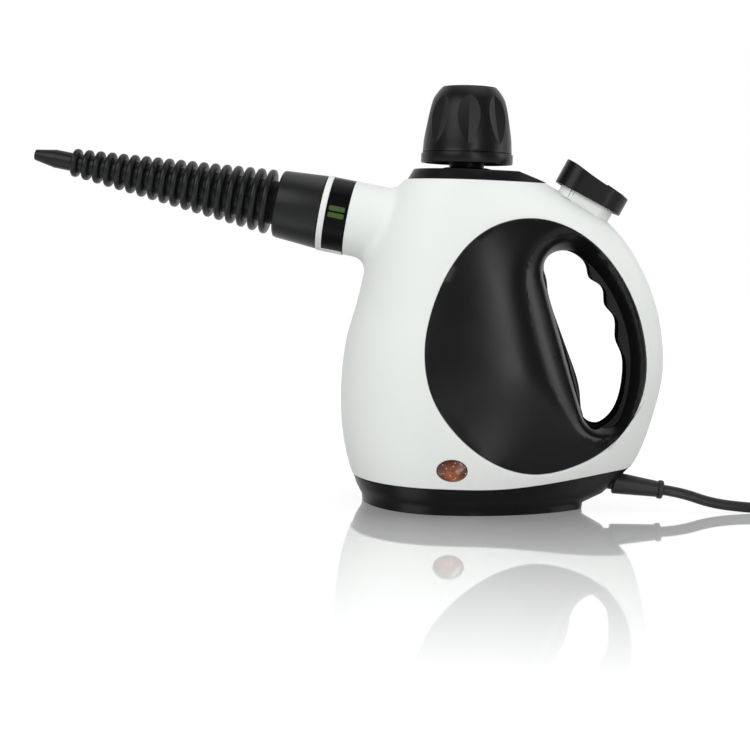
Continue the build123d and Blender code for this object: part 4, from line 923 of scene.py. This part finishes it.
def rib_tree():
    """Ribs of one width and falling size along a line: each is a rounded tongue carried round its own circle."""
    tree, add, given = group_tree(
        "nozzle_ribs", Int=["Rib Count"], Material=["Finish"],
        Float=["Rib Pitch", "First Rib", "Root Radius", "Tip Radius", "Rib Width", "Rib Depth"],
    )
    start = add("CombineXYZ", {"Z": given["First Rib"]})
    step = add("CombineXYZ", {"Z": given["Rib Pitch"]})
    line = add("MeshLine", {"Count": given["Rib Count"], "Start Location": start, "Offset": step}, mode="OFFSET")
    index = add("InputIndex")
    last = add("Math", {0: given["Rib Count"], 1: 1.0}, operation="SUBTRACT")
    share = add("Math", {0: index, 1: last}, operation="DIVIDE")
    crown = add("MapRange", {"Value": share, "To Min": given["Root Radius"], "To Max": given["Tip Radius"]})
    half_depth = add("Math", {0: given["Rib Depth"], 1: 0.5}, operation="MULTIPLY")
    radius = add("Math", {0: crown, 1: half_depth}, operation="SUBTRACT")
    scale = add("CombineXYZ", {"X": radius, "Y": radius, "Z": 1.0})
    circle = add("CurvePrimitiveCircle", {"Resolution": 96, "Radius": 1.0}, mode="RADIUS")
    rings = add("InstanceOnPoints", {"Points": line, "Instance": circle, "Scale": scale})
    rings = add("RealizeInstances", {"Geometry": rings})
    tongue = add("CurvePrimitiveQuadrilateral", {
        "Width": given["Rib Depth"], "Height": given["Rib Width"],
    }, mode="RECTANGLE")
    round_off = add("Math", {0: given["Rib Width"], 1: 0.44}, operation="MULTIPLY")
    tongue = add("FilletCurve", {"Curve": tongue, "Count": 6, "Radius": round_off, "Limit Radius": True}, mode="POLY")
    swept = add("CurveToMesh", {"Curve": rings, "Profile Curve": tongue})
    shaded = add("SetShadeSmooth", {"Geometry": swept})
    painted = add("SetMaterial", {"Geometry": shaded, "Material": given["Finish"]})
    add("NodeGroupOutput", {0: painted})
    return tree


class CLEANER_OT_nozzle(bpy.types.Operator):
    """Makes the collar band with its bars, the white ring, the connector and the ribbed nozzle"""

    bl_idname = "cleaner.nozzle"
    bl_label = "Nozzle"

    def execute(self, context):
        self.collar()
        self.connector()
        self.ribbed(context.scene.cleaner_sizes)
        return {"FINISHED"}

    def collar(self):
        dressed("collar_band", "band_sleeve", "band_black", edge=0.25 * MM)
        ring = rounded(
            [(15.5, BAND_END), (20.5, BAND_END), (20.5, RING_END), (15.5, RING_END)], [0, 0.35, 0.5, 0.3]
        )
        mesh = lathed("collar_trim", ring, NOZZLE, 160)
        smooth(mesh, TURNED_ANGLE)
        keep("collar_trim", mesh, "white_plastic", replaced=("collar_ring",))
        bars = [self.patch(20.2, 20.32, -12.2, -3.5, low, high) for low, high in ((186.4, 193.9), (176.1, 183.6))]
        self.joined("level_bars", bars, "green_print", "white_plastic")
        tab = [self.patch(19.6, 20.62, -13.3, BAND_END + 0.3, 62, 112)]
        self.joined("ring_tab", tab, "white_plastic", "white_plastic")

    def patch(self, inner, outer, start, end, low, high, round_off=0.7):
        """A curved pad on the band with rounded corners, between two angles and two distances."""
        middle = (inner + outer) / 2
        width = radians(high - low) * middle
        half_u, half_v = (end - start) / 2, width / 2
        outline = rounded([(-half_u, -half_v), (half_u, -half_v), (half_u, half_v), (-half_u, half_v)],
                          [round_off] * 4, 4)
        dense = []
        for (u0, v0), (u1, v1) in zip(outline, outline[1:] + outline[:1]):
            cuts = max(1, int(abs(v1 - v0) / 0.6))
            dense += [(u0 + (u1 - u0) * i / cuts, v0 + (v1 - v0) * i / cuts) for i in range(cuts)]
        points, faces = [], []
        count = len(dense)
        for radius in (inner, outer):
            for u, v in dense:
                turn = radians((low + high) / 2) + v / middle
                points.append((radius * cos(turn) * MM, radius * sin(turn) * MM, ((start + end) / 2 + u) * MM))
        for i in range(count):
            j = (i + 1) % count
            faces.append((i, j, count + j, count + i))
        rows = {}
        for k in range(count):
            rows.setdefault(round(dense[k][1], 3), []).append(k)
        levels = sorted(rows)
        for below, above in zip(levels, levels[1:]):
            a = sorted(rows[below], key=lambda k: dense[k][0])
            b = sorted(rows[above], key=lambda k: dense[k][0])
            loop = [a[0], a[-1], b[-1], b[0]]
            loop = [k for i, k in enumerate(loop) if k not in loop[:i]]
            if len(loop) > 2:
                faces.append(tuple(k + count for k in loop))
                faces.append(tuple(reversed(loop)))
        return points, faces

    def joined(self, name, patches, finish, slot):
        points, faces = [], []
        for more, loops in patches:
            base = len(points)
            points += more
            faces += [tuple(base + i for i in loop) for loop in loops]
        mesh = mesh_of(name, points, faces)
        mesh.transform(NOZZLE)
        tidy(mesh)
        smooth(mesh, 35)
        keep(name, mesh, finish)

    def connector(self):
        outline = rounded(
            [(12.9, -9.1), (15.2, -9.1), (15.2, CONNECTOR_START), (20.0, CONNECTOR_START),
             (18.2, CONNECTOR_END), (12.4, CONNECTOR_END), (12.4, 12.9),
             (4.0, 12.9), (4.0, -0.1), (7.0, -0.1), (7.0, 10.4), (12.9, 10.4)],
            [0, 0.3, 0, 0.6, 1.9, 0.5, 0, 0, 0, 0, 0, 0],
        )
        mesh = lathed("grip_ring", outline, NOZZLE, 160)
        smooth(mesh, TURNED_ANGLE)
        keep("grip_ring", mesh, "nozzle_rubber", "nozzle", ("nozzle_connector",))

    def ribbed(self, sizes):
        ribs = grow("ribs", bpy.data.meshes.new("seed"), rib_tree(), {
            "Rib Count": sizes.rib_count, "Rib Pitch": sizes.rib_pitch, "First Rib": sizes.rib_first,
            "Root Radius": sizes.rib_root, "Tip Radius": sizes.rib_tip, "Rib Width": sizes.rib_width,
            "Rib Depth": RIB_DEPTH * MM, "Finish": finishes()["nozzle_rubber"],
        })
        ribs.transform(NOZZLE)
        last = (sizes.rib_first + (sizes.rib_count - 1) * sizes.rib_pitch) / MM
        first = sizes.rib_first / MM
        root, tip, mouth = sizes.core_root / MM, sizes.core_tip / MM, sizes.mouth / MM
        core = rounded(
            [(2.2, 12.9), (12.35, 12.9), (12.35, 25.5), (root, 26.2), (root, first), (tip, last),
             (tip, last + 12.0), (mouth, last + 23.4), (1.4, last + 23.4), (1.4, last), (2.2, last)],
            [0, 0, 0, 0, 0, 0, 0.8, 0.45, 0.2, 0, 0],
        )
        mesh = lathed("core", core, NOZZLE, 96)
        with edited(mesh) as form:
            form.from_mesh(ribs)
        smooth(mesh, 42)
        keep("ribbed_spout", mesh, "nozzle_rubber", "nozzle", ("ribbed_nozzle",))


class CLEANER_OT_lens(bpy.types.Operator):
    """Makes the faceted amber indicator lens"""

    bl_idname = "cleaner.lens"
    bl_label = "Lens"

    def execute(self, context):
        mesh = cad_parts["indicator_lens"].data
        form = bmesh.new()
        form.from_mesh(mesh)
        tree = BVHTree.FromBMesh(form)
        form.free()

        def skin(x, z):
            hit = tree.ray_cast(Vector((x, -0.2, z)), Vector((0, 1, 0)))[0]
            return hit.y if hit else None

        def spot(share, turn):
            """A place on the lens's face, seen from the front."""
            x = (LENS_MIDDLE[0] + LENS_HALF_X * share * cos(turn)) * MM
            return x, (LENS_MIDDLE[2] + LENS_HALF_Z * share * sin(turn)) * MM

        # Each ring's share of the lens's radius, its points, and how many points' width it is turned by
        rings = [(0.0, 1, 0), (0.28, 6, 0.5), (0.55, 12, 0), (0.8, 18, 0.5), (0.965, 24, 0), (1.0, 48, 0)]
        points, loops = [], []
        for share, count, shift in rings:
            loop = []
            for i in range(count):
                turn = 2 * pi * (i + shift) / count
                x, z = spot(share, turn)
                edge = skin(x, z) if share < 0.99 else None
                if edge is None:
                    edge = skin(*spot(0.985, turn))
                dome = LENS_DOME * (1 - share ** 2) * MM
                loop.append(len(points))
                points.append((x, edge - dome + (LENS_RIM * MM if share == 1.0 else 0), z))
            loops.append(loop)
        back = []
        for i in loops[-1]:
            back.append(len(points))
            x, y, z = points[i]
            points.append((x, y + LENS_DEPTH * MM, z))
        faces = []
        for inner, outer in zip(loops, loops[1:]):
            faces += self.bridge(points, inner, outer)
        count = len(back)
        for i in range(count):
            faces.append((loops[-1][i], loops[-1][(i + 1) % count], back[(i + 1) % count], back[i]))
        faces.append(tuple(back))
        mesh = mesh_of("indicator_window", points, faces)
        tidy(mesh)
        keep("indicator_window", mesh, "amber_lens", replaced=("indicator_lens",))
        return {"FINISHED"}

    def bridge(self, points, inner, outer):
        """Triangles between two rings with different counts, seen from the front."""
        middle = Vector(LENS_MIDDLE) * MM

        def angle(i):
            x, _, z = points[i]
            return atan2((z - middle.z) / LENS_HALF_Z, (x - middle.x) / LENS_HALF_X) % (2 * pi)

        if len(inner) == 1:
            return [(inner[0], outer[i], outer[(i + 1) % len(outer)]) for i in range(len(outer))]
        a = sorted(inner, key=angle)
        b = sorted(outer, key=angle)
        faces, i, j = [], 0, 0
        while i < len(a) or j < len(b):
            next_a = angle(a[(i + 1) % len(a)]) + (2 * pi if i + 1 >= len(a) else 0) if i < len(a) else 99
            next_b = angle(b[(j + 1) % len(b)]) + (2 * pi if j + 1 >= len(b) else 0) if j < len(b) else 99
            here_a, here_b = a[i % len(a)], b[j % len(b)]
            if next_a < next_b:
                faces.append((here_a, here_b, a[(i + 1) % len(a)]))
                i += 1
            else:
                faces.append((here_a, here_b, b[(j + 1) % len(b)]))
                j += 1
        return faces


# Nodes that keep their own shape, and the finish of each
PLAIN_NODES = {
    "steel": ["heating_element", "button_pin", "neck_nut"],
    "brass": ["filler_neck", "valve_body", "valve_stem", "spigot"],
    "boiler_aluminium": ["boiler_lower", "boiler_upper", "thermostat"],
    "cap_seal_rubber": ["cap_seal"],
    "seal_rubber": ["boiler_gasket", "spigot_oring", "inlet_tube", "outlet_tube"],
    "ceramic": ["thermal_fuse", "terminal_block"],
    "neon_glass": ["indicator_lamp"],
    "base_plastic": ["cap_core", "cord_clamp"],
    "cord_rubber": ["inner_lead"],
}


# Springs, dressed in their own shape: node, name, body, joint, height of the fixed end in millimetres, share kept
# when pressed
SPRINGS = [
    ("cap_spring", "clutch_spring", "cap_core", "cap_press", 206.0, 0.894),
    ("valve_spring", "stem_spring", "cleaner", "valve_press", 151.5, 0.925),
]


def screw_tree():
    """Screws with a cross recess on the given points, every one turned to the given axis."""
    tree, add, given = group_tree(
        "cross_screws", Vector=["Axis"], Material=["Finish"],
        Float=["Head Radius", "Head Height", "Shank Radius", "Shank Length", "Recess Width", "Recess Reach"],
    )
    head = add("MeshCylinder", {"Vertices": 32, "Radius": given["Head Radius"], "Depth": given["Head Height"]})
    half = add("Math", {0: given["Head Height"], 1: 0.5}, operation="MULTIPLY")
    lift = add("CombineXYZ", {"Z": half})
    head = add("Transform", {"Geometry": head, "Translation": lift})
    bars = []
    for long_side in ("X", "Y"):
        short_side = "Y" if long_side == "X" else "X"
        box_size = add("CombineXYZ", {
            long_side: given["Recess Reach"], short_side: given["Recess Width"], "Z": given["Head Height"],
        })
        top = add("CombineXYZ", {"Z": given["Head Height"]})
        bar = add("MeshCube", {"Size": box_size})
        bars.append(add("Transform", {"Geometry": bar, "Translation": top}))
    cut = head
    for bar in bars:
        cut = add("MeshBoolean", {0: cut, 1: bar}, operation="DIFFERENCE")
    shank = add("MeshCylinder", {"Vertices": 24, "Radius": given["Shank Radius"], "Depth": given["Shank Length"]})
    drop = add("Math", {0: given["Shank Length"], 1: -0.5}, operation="MULTIPLY")
    drop = add("CombineXYZ", {"Z": drop})
    shank = add("Transform", {"Geometry": shank, "Translation": drop})
    both = add("JoinGeometry", {0: cut})
    tree.links.new(shank.outputs[0], both.inputs[0])
    turn = add("FunctionNodeAlignRotationToVector", {"Vector": given["Axis"]}, axis="Z")
    spread = add("InstanceOnPoints", {"Points": given["Geometry"], "Instance": both, "Rotation": turn})
    real = add("RealizeInstances", {"Geometry": spread})
    painted = add("SetMaterial", {"Geometry": real, "Material": given["Finish"]})
    add("NodeGroupOutput", {0: painted})
    return tree


# The cross recess's width and reach
RECESS_WIDTH, RECESS_REACH = 0.8, 3.2
# The boiler's flange screws: radius of their circle, height and number
FLANGE_CIRCLE, FLANGE_HEIGHT, FLANGE_SCREWS = 39.3, 91.0, 6
# Name, node, axis, places, then radius and height of the head and radius and length of the shank
SCREWS = [
    ("shell_screws", "housing_screws", (0, 1, 0), [
        (-50.0, 7.0, 30.0), (-46.5, 7.0, 106.0), (42.0, 7.0, 166.0), (86.0, 7.0, 34.0), (102.0, 7.0, 90.0),
    ], (2.7, 1.8, 1.3, 18.0)),
    ("foot_screws", "base_screws", (0, 0, -1), [
        (-36.0, 21.0, 2.2), (-36.0, -21.0, 2.2), (48.0, 13.5, 2.2), (48.0, -13.5, 2.2),
    ], (2.9, 2.0, 1.45, 19.8)),
    ("flange_screws", "boiler_screws", (0, 0, 1), [
        (FLANGE_CIRCLE * cos(radians(30 + 360 / FLANGE_SCREWS * i)),
         FLANGE_CIRCLE * sin(radians(30 + 360 / FLANGE_SCREWS * i)), FLANGE_HEIGHT) for i in range(FLANGE_SCREWS)
    ], (3.0, 2.4, 1.9, 5.0)),
]


class CLEANER_OT_inner(bpy.types.Operator):
    """Makes the screws and gives the inner parts their finishes"""

    bl_idname = "cleaner.inner"
    bl_label = "Screws and inner parts"

    def execute(self, context):
        looks = finishes()
        for finish, nodes in PLAIN_NODES.items():
            for node in nodes:
                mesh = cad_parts[node].data
                mesh.materials.clear()
                mesh.materials.append(looks[finish])
        for node, name, body, joint, foot, share in SPRINGS:
            spring = dressed(node, name, "steel", body)
            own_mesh(spring)
        tree = screw_tree()
        for row in SCREWS:
            self.screws(tree, *row)
        return {"FINISHED"}

    def screws(self, tree, name, node, axis, places, sizes):
        head, height, shank, length = sizes
        seed = mesh_of(name, [Vector(p) * MM for p in places], [])
        mesh = grow(name, seed, tree, {
            "Head Radius": head * MM, "Head Height": height * MM, "Shank Radius": shank * MM,
            "Shank Length": length * MM, "Recess Width": RECESS_WIDTH * MM, "Recess Reach": RECESS_REACH * MM,
            "Axis": axis, "Finish": finishes()["steel"],
        })
        smooth(mesh, 35)
        keep(name, mesh, "steel", replaced=(node,))


OPERATORS = [
    CLEANER_OT_stage, CLEANER_OT_cord, CLEANER_OT_shells, CLEANER_OT_cap, CLEANER_OT_button, CLEANER_OT_nozzle,
    CLEANER_OT_lens, CLEANER_OT_inner,
]


class CLEANER_PT_pieces(bpy.types.Panel):
    """Lists the cleaner's pieces, sizes and colours"""

    bl_idname = "CLEANER_PT_pieces"
    bl_label = "Steam cleaner"
    bl_space_type = "VIEW_3D"
    bl_region_type = "UI"
    bl_category = "Steam cleaner"

    def draw(self, context):
        layout = self.layout
        for group in (context.scene.cleaner_sizes, context.scene.cleaner_colours):
            box = layout.box()
            for name in group.__annotations__:
                box.prop(group, name)
        for operator in OPERATORS:
            layout.operator(operator.bl_idname)


CLASSES = [CleanerColours, CleanerSizes, *OPERATORS, CLEANER_PT_pieces]


def register():
    for item in CLASSES:
        bpy.utils.register_class(item)
    bpy.types.Scene.cleaner_colours = PointerProperty(type=CleanerColours)
    bpy.types.Scene.cleaner_sizes = PointerProperty(type=CleanerSizes)


def unregister():
    del bpy.types.Scene.cleaner_sizes
    del bpy.types.Scene.cleaner_colours
    for item in reversed(CLASSES):
        bpy.utils.unregister_class(item)


def main():
    register()
    for operator in OPERATORS:
        group, name = operator.bl_idname.split(".")
        getattr(getattr(bpy.ops, group), name)()


if __name__ == "__main__":
    main()
